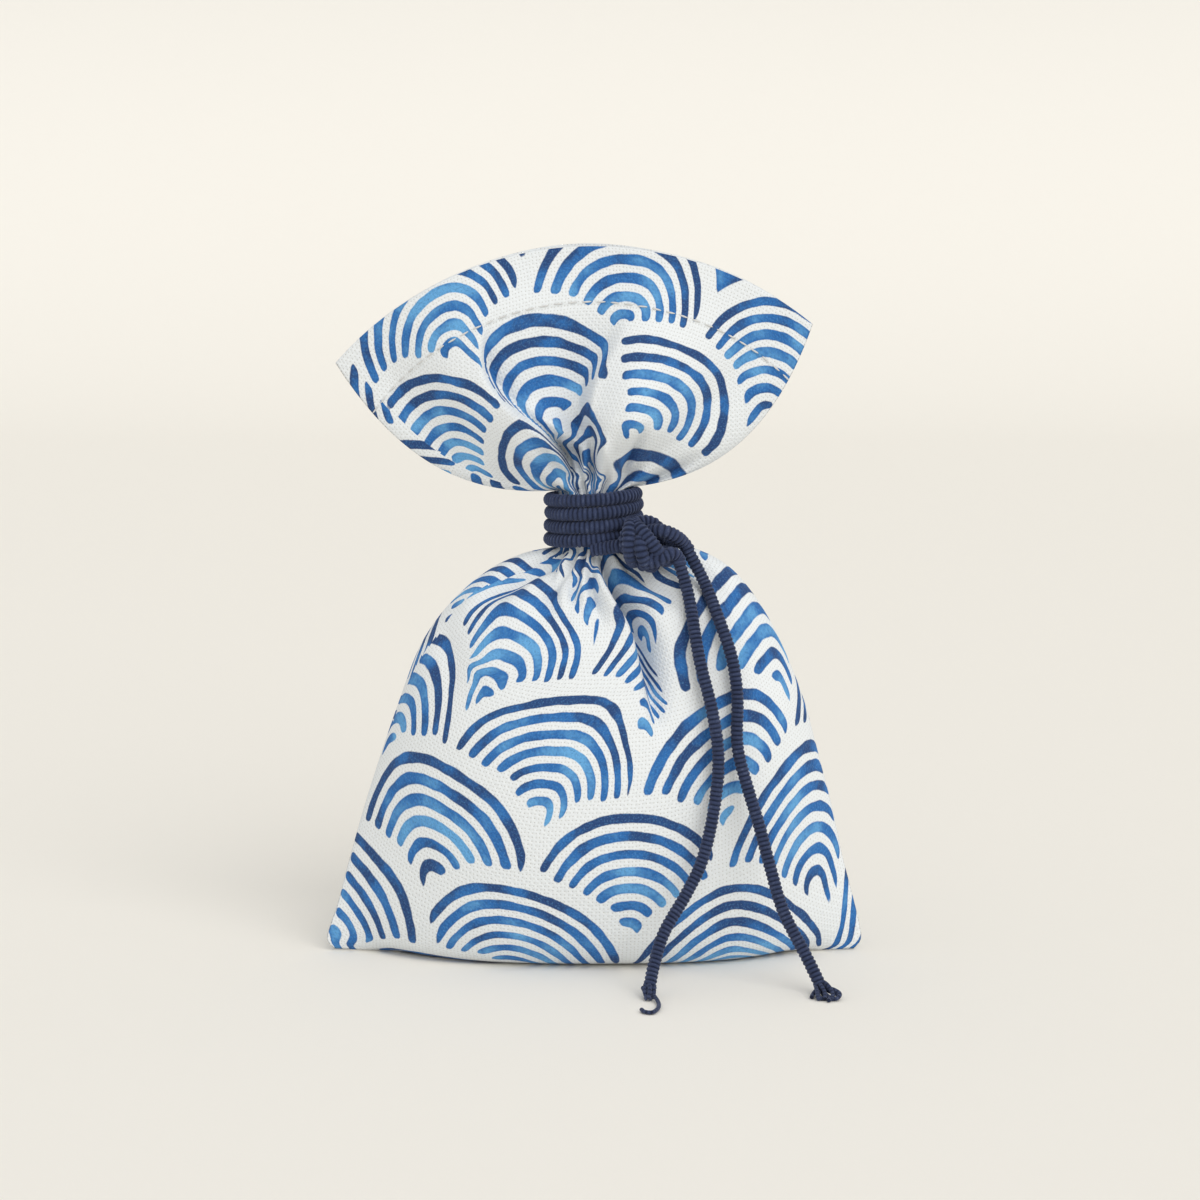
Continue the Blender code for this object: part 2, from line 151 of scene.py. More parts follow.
# Folds of the body's front, drawn on the front view from the tie down:
# depth (mm, into the cloth), reach left and right of the line (mm), points.
BODY_FOLDS = [
    (3.0, 2.2, 2.6, [(548, 556), (520, 572), (492, 594), (468, 616)]),
    (-1.4, 3.0, 3.4, [(552, 556), (528, 590), (500, 612), (474, 636)]),
    (2.2, 1.6, 2.0, [(556, 556), (548, 580), (552, 606), (566, 630)]),
    (-1.2, 2.0, 2.0, [(566, 556), (566, 580), (572, 604), (584, 628)]),
    (2.4, 1.5, 1.8, [(573, 556), (569, 582), (577, 602), (584, 628)]),
    (-1.3, 1.4, 1.6, [(580, 556), (585, 586), (592, 606), (598, 634)]),
    (2.4, 1.4, 1.6, [(588, 556), (592, 590), (600, 612), (604, 632)]),
    (-2.2, 1.8, 1.4, [(592, 556), (600, 584), (616, 610), (634, 636), (644, 668)]),
    (8.4, 0.9, 2.7, [(601, 556), (617, 588), (634, 618), (645, 650), (652, 686), (657, 720),
                     (664, 752)]),
    (-1.4, 3.0, 3.2, [(612, 556), (634, 584), (655, 620), (676, 660)]),
    (1.8, 1.8, 2.4, [(626, 560), (652, 582), (672, 598), (690, 616)]),
    (-1.0, 2.6, 3.0, [(640, 556), (674, 584), (700, 610), (716, 640)]),
    (1.4, 2.2, 3.2, [(655, 556), (690, 566), (720, 588), (738, 612)]),
    (0.9, 2.0, 3.0, [(444, 640), (452, 664), (446, 700), (438, 740)]),
    (-0.8, 6.0, 8.0, [(470, 600), (490, 660), (500, 720)]),
]
# Gathers of the back: place across at the tie and where it dies out, height
# share where it dies out, depth and width.
BACK_FOLDS = [
    (-0.72, -0.80, 0.70, 3.6, 0.075), (-0.42, -0.52, 0.60, 4.8, 0.085),
    (-0.14, -0.10, 0.80, 3.2, 0.075), (0.14, 0.18, 0.55, 5.0, 0.085),
    (0.46, 0.54, 0.765, 3.6, 0.075), (0.74, 0.82, 0.715, 3.0, 0.075),
    (-0.28, -0.33, 0.86, 1.6, 0.04), (0.31, 0.35, 0.86, 1.6, 0.04),
]

# The tied neck and the ruffle's fan in mm: how far its sides lean out, the neck's
# radius, foot, top and rise to the right, and the depth of the fine pleats.
LEAN_LEFT = math.radians(64.0)
LEAN_RIGHT = math.radians(53.0)
NECK_RADIUS = 6.4
NECK_FOOT = 74.1
NECK_TOP = 85.3
NECK_RISE = 0.04
RUFFLE_LENGTH = 43.4
PLEAT_DEPTH = 1.2
# Half depth of the ruffle where it is fullest and at the hem, the sag of its
# sides, the least gap between its layers, and the thickness of cloth and hem.
RUFFLE_SWELL = 10.75
MOUTH_SWELL = 3.3
SIDE_SAG = 7.2
LEAST_GAP = 2.2
CLOTH_WALL = 0.8
HEM_EXTRA = 0.45
# Folds of the ruffle: layer, place at the neck and at the hem, width, how far
# it stands out to that layer's side, how much is left of it at the hem.
RUFFLE_WAVES = [
    (-1, -0.42, -0.62, 0.26, 5.4, 0.45), (-1, 0.36, 0.36, 0.26, 5.4, 0.45),
    (-1, 0.72, 0.80, 0.12, -1.6, 0.20), (-1, -0.74, -0.86, 0.10, -1.4, 0.30),
    (1, -0.50, -0.62, 0.22, -6.2, 0.60), (1, -0.08, -0.12, 0.24, 7.4, 0.60),
    (1, 0.30, 0.34, 0.20, -6.0, 0.50), (1, 0.62, 0.70, 0.18, 4.0, 0.50),
]
# Edges and top of the pocket that folds inward at the ruffle's front, and the
# folds round it, drawn on the front view.
POCKET_TOP = 312.0
POCKET_DEPTH = 8.5
POCKET_LEFT = [(494, 300), (486, 322), (481, 350), (483, 372), (493, 392), (507, 408),
               (526, 425), (542, 439), (558, 458), (570, 478), (577, 500)]
POCKET_RIGHT = [(640, 300), (628, 322), (619, 342), (609, 360), (599, 376), (593, 394),
                (591, 412), (592, 440), (592, 470), (590, 500)]
RUFFLE_FOLDS = [
    (-4.2, 2.0, 1.3, [(510, 396), (528, 414), (552, 428), (573, 441), (584, 457), (582, 476),
                      (576, 500)]),
    (4.6, 0.8, 0.8, [(540, 436), (556, 448), (567, 463), (572, 480), (575, 500)]),
    (4.0, 1.4, 0.9, [(575, 418), (588, 424), (592, 440), (592, 460), (590, 500)]),
    (1.6, 1.6, 1.4, [(529, 424), (540, 446), (552, 466), (566, 490), (570, 500)]),
    (-1.2, 2.2, 1.8, [(512, 432), (526, 456), (542, 478), (560, 500)]),
    (-1.6, 1.4, 1.8, [(601, 430), (604, 448), (611, 470), (612, 500)]),
    (4.6, 1.2, 1.5, [(650, 420), (638, 444), (626, 466), (616, 500)]),
    (-1.0, 2.4, 2.8, [(664, 440), (648, 462), (634, 480), (624, 500)]),
    (1.2, 3.0, 3.0, [(706, 452), (676, 474), (650, 490), (632, 502)]),
    (-1.2, 5.0, 5.0, [(440, 320), (452, 380), (486, 440), (530, 490)]),
    (1.2, 3.4, 5.0, [(372, 330), (400, 390), (450, 450), (520, 495)]),
    (1.0, 4.0, 4.0, [(762, 330), (730, 380), (690, 440), (650, 480)]),
    (-0.8, 4.0, 4.0, [(730, 300), (705, 360), (676, 420), (640, 470)]),
]


def stations():
    """Places across one layer, from the left seam (-1) to the right (1)."""
    t = np.linspace(0.0, 1.0, COLUMNS + 1)
    return 0.45 * (2.0 * t - 1.0) - 0.55 * np.cos(math.pi * t)


def fullness(s):
    """How full a layer is across its width: 1 in the middle, 0 at the seams."""
    return np.clip(1.0 - np.abs(s) ** 2.15, 0.0, 1.0)


def off_seam(s):
    """1 away from the seams, easing to 0 on them."""
    return ease(0.0, 0.08, 1.0 - np.abs(s))


def fine_pleats(s, layer):
    """Small pleats of the gathered cloth, 0 on a crest and 1 in a valley."""
    phase = 0.9 if layer < 0 else 2.3
    wave = np.sin(22.0 * s + phase + 1.3 * np.sin(5.1 * s + phase))
    return (0.5 + 0.5 * wave) ** 1.4


def grid_normals(points, layer):
    """Outward unit normals of a layer's grid (rows up, columns right)."""
    across = np.gradient(points, axis=1)
    up = np.gradient(points, axis=0)
    n = np.cross(across, up)
    size = np.linalg.norm(n, axis=2, keepdims=True)
    n = n / np.maximum(size, 1e-9)
    return n if layer < 0 else -n


def drawn_folds(points, folds, from_tie):
    """How deep (mm) the drawn folds press into the points of a front layer."""
    px, py = front_view(points)
    inward = np.zeros(px.shape)
    valley = np.zeros(px.shape)
    for depth, left, right, line in folds:
        dist, share = fold_distance(px, py, line)
        reach = np.where(dist < 0.0, left, right)
        shape = np.exp(-(np.abs(dist) / reach) ** 1.5)
        grow = 1.0 - ease(0.45, 1.0, share) if from_tie else ease(0.0, 0.45, share)
        inward = inward + depth * grow * shape
        if depth > 0.0:
            tight = np.exp(-(np.abs(dist) / (0.5 * reach)) ** 2.0)
            valley = np.maximum(valley, grow * tight * min(1.0, depth / 2.5))
    return inward, valley


def body_layer(s, layer, shares):
    """Grid of one layer of the filled body, and how far each point is in a valley."""
    left = along(smooth_line(EDGE_LEFT), shares)[:, None, :]
    right = along(smooth_line(EDGE_RIGHT), shares)[:, None, :]
    middle = along(smooth_line(MIDDLE_FRONT if layer < 0 else MIDDLE_BACK), shares)[:, None, :]
    v = shares[:, None]
    s = s[None, :]
    edge = np.where(s < 0.0, -left[..., 0], right[..., 0])
    edge_up = np.where(s < 0.0, left[..., 1], right[..., 1])
    power = 0.86 - 0.36 * ease(0.08, 0.62, v)
    x = edge * s
    y = layer * middle[..., 0] * fullness(s) ** power
    bend = 6.0 - 3.0 * ease(0.02, 0.35, v)
    z = middle[..., 1] + (edge_up - middle[..., 1]) * np.abs(s) ** bend
    base = np.stack([x, y, z], axis=2)
    normals = grid_normals(base, layer)
    window = off_seam(s)
    if layer < 0:
        inward, valley = drawn_folds(base, BODY_FOLDS, True)
    else:
        inward = np.zeros(base.shape[:2])
        valley = np.zeros(base.shape[:2])
        for at_tie, at_end, reach, deep, wide in BACK_FOLDS:
            t = np.clip((1.0 - v) / (1.0 - reach), 0.0, 1.0) ** 0.7
            dist = (s - at_tie - (at_end - at_tie) * t) / wide
            grow = ease(reach, reach + 0.3, v)
            inward = inward + deep * grow * (np.exp(-np.abs(dist) ** 1.5)
                                             - 0.4 * np.exp(-(dist / 2.2) ** 2))
            valley = np.maximum(valley, grow * np.exp(-(dist / 0.5) ** 2) * min(1.0, deep / 3))
    pleat = fine_pleats(s, layer) * ease(0.80, 0.97, v)
    inward = inward * (1.0 - 0.75 * ease(0.93, 1.0, v)) + PLEAT_DEPTH * pleat
    valley = np.maximum(valley, 0.9 * pleat ** 2)
    base = base - normals * (inward * window)[..., None]
    base[..., 2] = np.maximum(base[..., 2], 0.0)
    return base, valley * window


def neck_layer(s, layer, shares):
    """Grid of one layer of the tied neck."""
    q = shares[:, None]
    s = s[None, :]
    window = off_seam(s)
    pleat = fine_pleats(s, layer) * np.ones_like(q)
    waist = NECK_RADIUS * (1.0 - 0.05 * np.sin(math.pi * q))
    radius = waist - PLEAT_DEPTH * pleat * window
    x = radius * s
    y = layer * radius * fullness(s) ** 0.5
    over = np.maximum(1.0, np.hypot(x, y) / waist)
    x, y = x / over, y / over
    z = NECK_FOOT + (NECK_TOP - NECK_FOOT) * q + NECK_RISE * x
    return np.stack([x, y, z * np.ones_like(x)], axis=2), 0.9 * pleat ** 2 * window


def ruffle_frame(s, r):
    """Across and up (mm) of fan line s at share r from neck to hem."""
    lean = np.where(s < 0.0, LEAN_LEFT, LEAN_RIGHT) * s
    reach = RUFFLE_LENGTH * (1.0 + 0.16 * (lean / math.radians(60.0)) ** 2)
    root_x = NECK_RADIUS * s
    root_z = NECK_TOP + NECK_RISE * root_x
    hem_x = reach * np.sin(lean)
    hem_z = NECK_TOP + reach * np.cos(lean)
    run_x, run_z = hem_x - root_x, hem_z - root_z
    size = np.hypot(run_x, run_z)
    side = np.sign(s)
    sag = SIDE_SAG * np.abs(s) ** 2.2 * 4.0 * r * (1.0 - r) * (1.15 - 0.3 * r)
    x = root_x + run_x * r + side * run_z / size * sag
    z = root_z + run_z * r - side * run_x / size * sag
    return x, z


def ruffle_layers(s, shares):
    """Grids of the ruffle's front and back layers, with their valleys."""
    r = shares[:, None]
    s = s[None, :]
    x, z = ruffle_frame(s, r)
    swell = NECK_RADIUS + (RUFFLE_SWELL - NECK_RADIUS) * ease(0.0, 0.32, r)
    swell = swell + (MOUTH_SWELL - swell) * ease(0.30, 1.0, r) ** 0.8
    power = 0.5 + 0.3 * ease(0.0, 0.6, r)
    window = fullness(s)
    seam = off_seam(s)
    depth = {}
    dips = {}
    for layer in (-1, 1):
        y = swell * window ** power
        grow = 1.65 * ease(0.0, 0.30, r)
        for side, at_neck, at_hem, wide, tall, left_over in RUFFLE_WAVES:
            if side != layer:
                continue
            place = at_neck + (at_hem - at_neck) * r
            fade = 1.0 - (1.0 - left_over) * ease(0.35, 1.0, r)
            bump = np.exp(-((s - place) / wide) ** 2)
            y = y + grow * tall * fade * bump * window ** 0.5 * 0.62
        fine = PLEAT_DEPTH * (1.0 - ease(0.10, 0.42, r)) * (1.0 + 0.5 * ease(0.0, 0.12, r))
        pleat = fine_pleats(s, layer) * seam
        depth[layer] = layer * (y - fine * pleat)
        dips[layer] = 0.9 * pleat ** 2 * (1.0 - ease(0.05, 0.35, r))
    front = np.stack([x, depth[-1], z], axis=2)
    px, py = front_view(front)
    left, _ = fold_distance(px, py, POCKET_LEFT)
    right, _ = fold_distance(px, py, POCKET_RIGHT)
    top = (py - POCKET_TOP) * PIXEL_MM
    pocket = ease(-0.3, 1.0, left) * ease(-0.3, 2.6, -right) * ease(-3.0, 21.0, top)
    pocket = pocket * (1.0 - 0.8 * ease(25.0, 32.0, top))
    inward, valley = drawn_folds(front, RUFFLE_FOLDS, False)
    inward = inward * ease(0.0, 0.10, r) * seam
    depth[-1] = depth[-1] + POCKET_DEPTH * pocket + inward
    walls = np.maximum(np.exp(-((left - 0.4) / 0.7) ** 2),
                       0.6 * np.exp(-((right + 1.0) / 1.2) ** 2))
    valley = np.maximum(valley, walls * ease(0.0, 10.0, top))
    dips[-1] = np.maximum(dips[-1], valley * ease(0.0, 0.1, r) * seam)
    least = LEAST_GAP * np.clip(8.0 * (1.0 - np.abs(s)), 0.0, 1.0)
    back = np.maximum(depth[1], depth[-1] + least)
    front = np.stack([x, depth[-1], z], axis=2)
    return (front, dips[-1]), (np.stack([x, back, z], axis=2), dips[1])


def cloth_places(front, front_dip, back, back_dip, lean_left):
    """Millimetres round the cloth at each point, hiding the spare cloth in the valleys."""
    places = []
    for points, dip in ((front, front_dip), (back, back_dip)):
        step = np.linalg.norm(np.diff(points, axis=1), axis=2)
        dips = 0.5 * (dip[:, 1:] + dip[:, :-1])
        plain = step.sum(axis=1, keepdims=True)
        weight = (step * (dips + 0.10)).sum(axis=1, keepdims=True)
        spare = np.maximum(PANEL - plain, 0.0) / weight
        step = step * (1.0 + spare * (dips + 0.10))
        run = np.concatenate([np.zeros((len(step), 1)), np.cumsum(step, axis=1)], axis=1)
        places.append(run / run[:, -1:])
    f = -lean_left[:, None] + (PANEL + lean_left[:, None]) * places[0]
    b = 2.0 * PANEL - lean_left[:, None] - (PANEL - lean_left[:, None]) * places[1]
    return f, b


def bag_surface():
    """The whole outer skin: front and back grids, cloth places and cloth heights."""
    s = stations()
    body = np.linspace(0.0, 1.0, BODY_ROWS + 1)
    neck = np.linspace(0.0, 1.0, NECK_ROWS + 2)[1:-1]
    ruffle = np.linspace(0.0, 1.0, RUFFLE_ROWS + 1)
    sheets = []
    for layer, ruffled in zip((-1, 1), ruffle_layers(s, ruffle)):
        parts = (body_layer(s, layer, body), neck_layer(s, layer, neck), ruffled)
        sheets.append([np.concatenate(grids) for grids in zip(*parts)])
    (front, front_dip), (back, back_dip) = sheets
    height = np.concatenate([body * BODY_LENGTH, BODY_LENGTH + NECK_CLOTH * neck,
                             BODY_LENGTH + NECK_CLOTH + RUFFLE_CLOTH * ruffle])
    for edge in (0, -1):
        seam = 0.5 * (front[:, edge] + back[:, edge])
        front[:, edge] = seam
        back[:, edge] = seam
    # Cloth of the back panel that comes round the left edge, in mm.
    turned = 6.5 * ease(38.0, 66.0, height) - 3.0 * ease(92.0, 104.0, height)
    u_front, u_back = cloth_places(front, front_dip, back, back_dip, turned)
    return front, back, u_front, u_back, height


def lining_layers(s, front, back, height):
    """Inner layers of the mouth, a cloth's thickness inside the outer ones."""
    inset = s * 0.965
    wall = CLOTH_WALL + HEM_EXTRA * ease(136.0, 139.0, height)[:, None]
    inner = []
    for layer in (front, back):
        grid = np.stack([[np.interp(inset, s, row[:, k]) for k in range(3)] for row in layer])
        inner.append(np.moveaxis(grid, 1, 2))
    f, b = inner
    middle = 0.5 * (f[..., 1] + b[..., 1])
    room = np.maximum(0.0, 0.5 * (b[..., 1] - f[..., 1] - 0.3))
    for layer, side in ((f, -1.0), (b, 1.0)):
        across = np.maximum(np.gradient(layer[..., 0], axis=1), 0.02)
        slope = np.gradient(layer[..., 1], axis=1) / across
        steep = np.minimum(np.hypot(1.0, slope), 2.2)
        layer[..., 1] = middle + side * (np.maximum(room - wall * steep, 0.0) + 0.15)
    for edge in (0, -1):
        f[:, edge, 1] = b[:, edge, 1] = middle[:, edge]
    return f, b


def ring_points(front, back):
    """Closed rings of points, along the front to the right and back behind."""
    return np.concatenate([front, back[:, -2:0:-1]], axis=1)


def shell_mesh(name, front, back, lining_front, lining_back):
    """One closed skin: outer rings from the base seam up, then the lining down to its floor."""
    turn = 2 * COLUMNS
    rings = ring_points(front, back)
    inner = ring_points(lining_front, lining_back)[::-1]
    points = np.concatenate([front[0], rings[1:].reshape(-1, 3), inner.reshape(-1, 3)])
    first = np.concatenate([np.arange(COLUMNS + 1), np.arange(COLUMNS - 1, 0, -1)])
    rows = [first]
    for k in range(len(rings) - 1 + len(inner)):
        rows.append(COLUMNS + 1 + k * turn + np.arange(turn))
    faces = []
    for low, high in zip(rows[:-1], rows[1:]):
        after = np.roll(np.arange(turn), -1)
        faces.append(np.stack([low, low[after], high[after], high], axis=1))
    faces = np.concatenate(faces)
    last = rows[-1]
    c = np.arange(1, COLUMNS - 1)
    floor = np.stack([last[c], last[c + 1], last[turn - c - 1], last[turn - c]], axis=1)
    ends = [[last[0], last[1], last[turn - 1]],
            [last[COLUMNS - 1], last[COLUMNS], last[COLUMNS + 1]]]
    mesh = bpy.data.meshes.new(name)
    mesh.from_pydata((points * MM).tolist(), [], faces.tolist() + floor.tolist() + ends)
    mesh.shade_smooth()
    return mesh


# Height of the hem's stitches on the flat cloth, in mm.
HEM_LINE = 138.7
# Room outside a scallop's first arc, as a share of the step from arc to arc.
WAVE_MARGIN = 0.75
# Seed of the back panel's scallops and their steps across and up, in mm.
BACK_PRINT_SEED = 7
BACK_ACROSS = 35.0
BACK_UP = 16.6
# Bare room in mm where no other scallop or seam is near.
FREE_ROOM = 9.0
# Wave scallops of the front panel, in mm of flat cloth: foot across and up, half width
# left and right, height, lean, arcs and roundness.
FRONT_WAVES = [
    (22.2, 136.4, 20.4, 16.8, 21.3, -1.9, 7, 2.3), (60.3, 134.7, 19.7, 14.8, 20.7, 2.0, 6, 2.5),
    (100.4, 131.1, 22.3, 17.0, 19.6, 0.0, 7, 2.1), (-1.0, 115.8, 17.4, 21.0, 21.9, 4.5, 7, 2.5),
    (43.0, 114.0, 14.6, 22.1, 23.2, -4.8, 6, 2.2), (72.1, 115.0, 17.7, 24.2, 18.3, -1.6, 6, 2.4),
    (11.5, 101.3, 17.8, 17.0, 18.0, 11.7, 5, 1.8), (49.5, 102.6, 11.0, 11.0, 16.0, 9.0, 4, 2.2),
    (96.3, 95.0, 25.7, 17.7, 16.9, -6.9, 4, 2.6), (5.0, 76.0, 17.0, 17.0, 20.0, 0.0, 6, 2.2),
    (36.6, 75.0, 12.0, 13.0, 18.0, 0.0, 5, 2.2), (63.9, 73.5, 20.0, 14.6, 18.1, 9.0, 5, 2.1),
    (99.0, 72.0, 17.0, 17.0, 20.0, 0.0, 6, 2.2), (22.4, 58.8, 14.4, 14.9, 23.6, -8.4, 7, 2.7),
    (57.0, 55.9, 15.6, 14.2, 22.9, -11.2, 7, 2.0), (89.7, 51.9, 20.8, 20.4, 21.5, -2.0, 6, 2.9),
    (4.0, 39.7, 16.9, 14.0, 23.9, 0.3, 6, 1.9), (38.6, 42.7, 19.6, 15.6, 20.5, 1.2, 7, 2.5),
    (74.0, 37.4, 16.6, 16.7, 20.7, -1.7, 6, 2.3), (102.8, 35.0, 16.6, 17.0, 18.9, 7.3, 5, 1.6),
    (20.3, 25.7, 18.1, 17.2, 20.2, 1.2, 6, 2.2), (55.1, 20.3, 16.9, 18.1, 22.1, -0.8, 7, 2.3),
    (91.6, 17.7, 18.9, 18.2, 22.6, -2.6, 7, 2.2), (-0.6, 1.6, 16.7, 16.0, 21.4, 7.8, 6, 2.3),
    (34.8, 8.3, 16.8, 19.1, 20.4, 0.1, 7, 2.1), (73.9, 7.0, 17.4, 17.3, 19.6, -2.2, 7, 1.7),
    (106.1, 0.8, 11.4, 17.0, 19.1, 3.6, 5, 2.1), (25.5, -10.5, 17.0, 17.0, 20.5, 0.0, 6, 2.3),
    (55.0, -13.5, 17.5, 17.5, 20.5, 0.0, 6, 2.2),
]


def wave_rings(arcs):
    """Arcs that would fit a scallop's outline, with the innermost kept open."""
    return (arcs - 0.34) / 0.88


def wave_list():
    """Scallops on the flat cloth: foot, half widths, height, lean, arcs, power, seed, panel."""
    rng = np.random.default_rng(BACK_PRINT_SEED)
    drawn = [wave + (k, 0) for k, wave in enumerate(FRONT_WAVES)]
    for row in range(-1, 10):
        for column in range(-1, 4):
            u = PANEL + BACK_ACROSS * (column + 0.5 * (row % 2)) + rng.uniform(-2.0, 2.0)
            v = BACK_UP * row - 4.0 + rng.uniform(-1.5, 1.5)
            wide = rng.uniform(16.5, 18.5)
            drawn.append((u, v, wide, wide * rng.uniform(0.9, 1.1), rng.uniform(20.0, 22.0),
                          rng.uniform(-3.0, 3.0), int(rng.integers(6, 8)),
                          rng.uniform(2.1, 2.5), 60 + 8 * row + column, 1))
    waves = []
    for u, v, left, right, tall, lean, arcs, power, seed, panel in drawn:
        grow = 1.0 / (1.0 - WAVE_MARGIN / wave_rings(arcs))
        waves.append((u, v, grow * left, grow * right, grow * tall, lean, arcs, power, seed,
                      panel))
    return sorted(waves, key=lambda w: -w[1])


def wave_place(u, v, wave):
    """Where a point of the cloth lies in a scallop: across and up as shares of its size."""
    foot_u, foot_v, left, right, tall, lean = wave[:6]
    up = (v - foot_v) / tall
    across = u - foot_u - lean * np.clip(up, -0.5, 1.3)
    return across / np.where(across < 0.0, left, right), up


def wave_reach(across, up, power):
    """Share of a scallop's outline: 1 on its outer edge."""
    return (np.abs(across) ** power + np.maximum(up, 0.0) ** power) ** (1.0 / power)


def wave_attributes(u, v, waves):
    """Each face corner's place in its scallop, its room to those in front, and the look."""
    behind = (u.mean(axis=1) < 0.0) | (u.mean(axis=1) > PANEL)
    u = np.where(behind[:, None] & (u < 50.0), u + 2.0 * PANEL, u)
    middle_u, middle_v = u.mean(axis=1), v.mean(axis=1)
    place = np.zeros((len(u), 4, 3))
    place[..., 1] = FREE_ROOM
    look = np.zeros((len(u), 3))
    room = np.full((len(u), 4), FREE_ROOM)
    for wave in waves:
        left, right, tall, _, arcs, power, seed, panel = wave[2:]
        mine = (behind == bool(panel)) & (middle_v > wave[1] - 26.0)
        across, up = wave_place(u, v, wave)
        away = (wave_reach(across, up, power) - 1.0) * (left + right + 2.0 * tall) / 4.0
        room = np.where(mine[:, None], np.minimum(room, away), room)
        inside = mine & (wave_reach(*wave_place(middle_u, middle_v, wave), power) < 1.0)
        place[inside, :, 0] = across[inside]
        place[inside, :, 1] = up[inside]
        room[inside] = FREE_ROOM
        look[inside] = (wave_rings(arcs), seed, power)
    for seam in (0.0, PANEL, 2.0 * PANEL):
        room = np.minimum(room, np.abs(u - seam) + 1.9)
    place[..., 2] = np.clip(room, -FREE_ROOM, FREE_ROOM)
    return place, look


def cloth_mesh(name):
    """The whole bag as a mesh with its cloth map and the print's attributes."""
    front, back, u_front, u_back, height = bag_surface()
    mouth = np.where(height >= BODY_LENGTH + NECK_CLOTH + 0.3 * RUFFLE_CLOTH)[0]
    mouth = mouth[::-1][::2][::-1]
    lining = lining_layers(stations(), front[mouth], back[mouth], height[mouth])
    mesh = shell_mesh(name, front, back, *lining)
    u_ring = np.concatenate([u_front, u_back[:, -2::-1]], axis=1)
    v_ring = np.repeat(height[:, None], u_ring.shape[1], axis=1)
    corners = []
    for grid in (u_ring, v_ring):
        corners.append(np.stack([grid[:-1, :-1], grid[:-1, 1:], grid[1:, 1:], grid[1:, :-1]],
                                axis=-1).reshape(-1, 4))
    u, v = corners
    outer = len(u)
    place, look = wave_attributes(u, v, wave_list())
    loops = len(mesh.loops)
    cloth = np.zeros((loops, 2))
    cloth[:4 * outer, 0] = u.reshape(-1) / (2.0 * PANEL)
    cloth[:4 * outer, 1] = v.reshape(-1) / (2.0 * PANEL)
    points = np.empty(len(mesh.vertices) * 3)
    mesh.vertices.foreach_get("co", points)
    index = np.empty(loops, dtype=int)
    mesh.loops.foreach_get("vertex_index", index)
    inside = points.reshape(-1, 3)[index[4 * outer:]]
    cloth[4 * outer:, 0] = inside[:, 0] / (2.0 * PANEL * MM) + 0.5
    cloth[4 * outer:, 1] = inside[:, 2] / (2.0 * PANEL * MM)
    mesh.uv_layers.new(name="cloth").data.foreach_set("uv", cloth.reshape(-1))
    spots = np.zeros((loops, 3))
    spots[:, 1] = FREE_ROOM
    spots[:4 * outer] = place.reshape(-1, 3)
    looks = np.zeros((len(mesh.polygons), 3))
    looks[:outer] = look
    for key, domain, values in (("wave_place", "CORNER", spots), ("wave_look", "FACE", looks)):
        mesh.attributes.new(key, "FLOAT_VECTOR", domain).data.foreach_set(
            "vector", values.reshape(-1))
    return mesh


def math_node(tree, operation, *values):
    """Add one Math node on links or numbers."""
    node = tree.nodes.new("ShaderNodeMath")
    node.operation = operation
    for slot, value in zip(node.inputs, values):
        plug(tree, slot, value)
    return Link(tree, node.outputs[0])


def plug(tree, slot, value):
    """Give a node's input a link or a plain value."""
    if isinstance(value, Link):
        tree.links.new(value.socket, slot)
    elif isinstance(value, tuple) and len(value) == 3 and slot.type == "RGBA":
        slot.default_value = value + (1.0,)
    else:
        slot.default_value = value


class Link:
    """A socket in a node tree; arithmetic on it adds Math nodes."""

    def __init__(self, tree, socket):
        self.tree = tree
        self.socket = socket

    def out(self, name):
        """Another output of the same node."""
        return Link(self.tree, self.socket.node.outputs[name])

    def does(self, operation, *others):
        """A Math node of that operation with this link first."""
        return math_node(self.tree, operation, self, *others)

    def __add__(self, other):
        return self.does("ADD", other)

    __radd__ = __add__

    def __sub__(self, other):
        return self.does("SUBTRACT", other)

    def __rsub__(self, other):
        return math_node(self.tree, "SUBTRACT", other, self)

    def __mul__(self, other):
        return self.does("MULTIPLY", other)

    __rmul__ = __mul__

    def __truediv__(self, other):
        return self.does("DIVIDE", other)

    def __rtruediv__(self, other):
        return math_node(self.tree, "DIVIDE", other, self)

    def __pow__(self, other):
        return self.does("POWER", other)


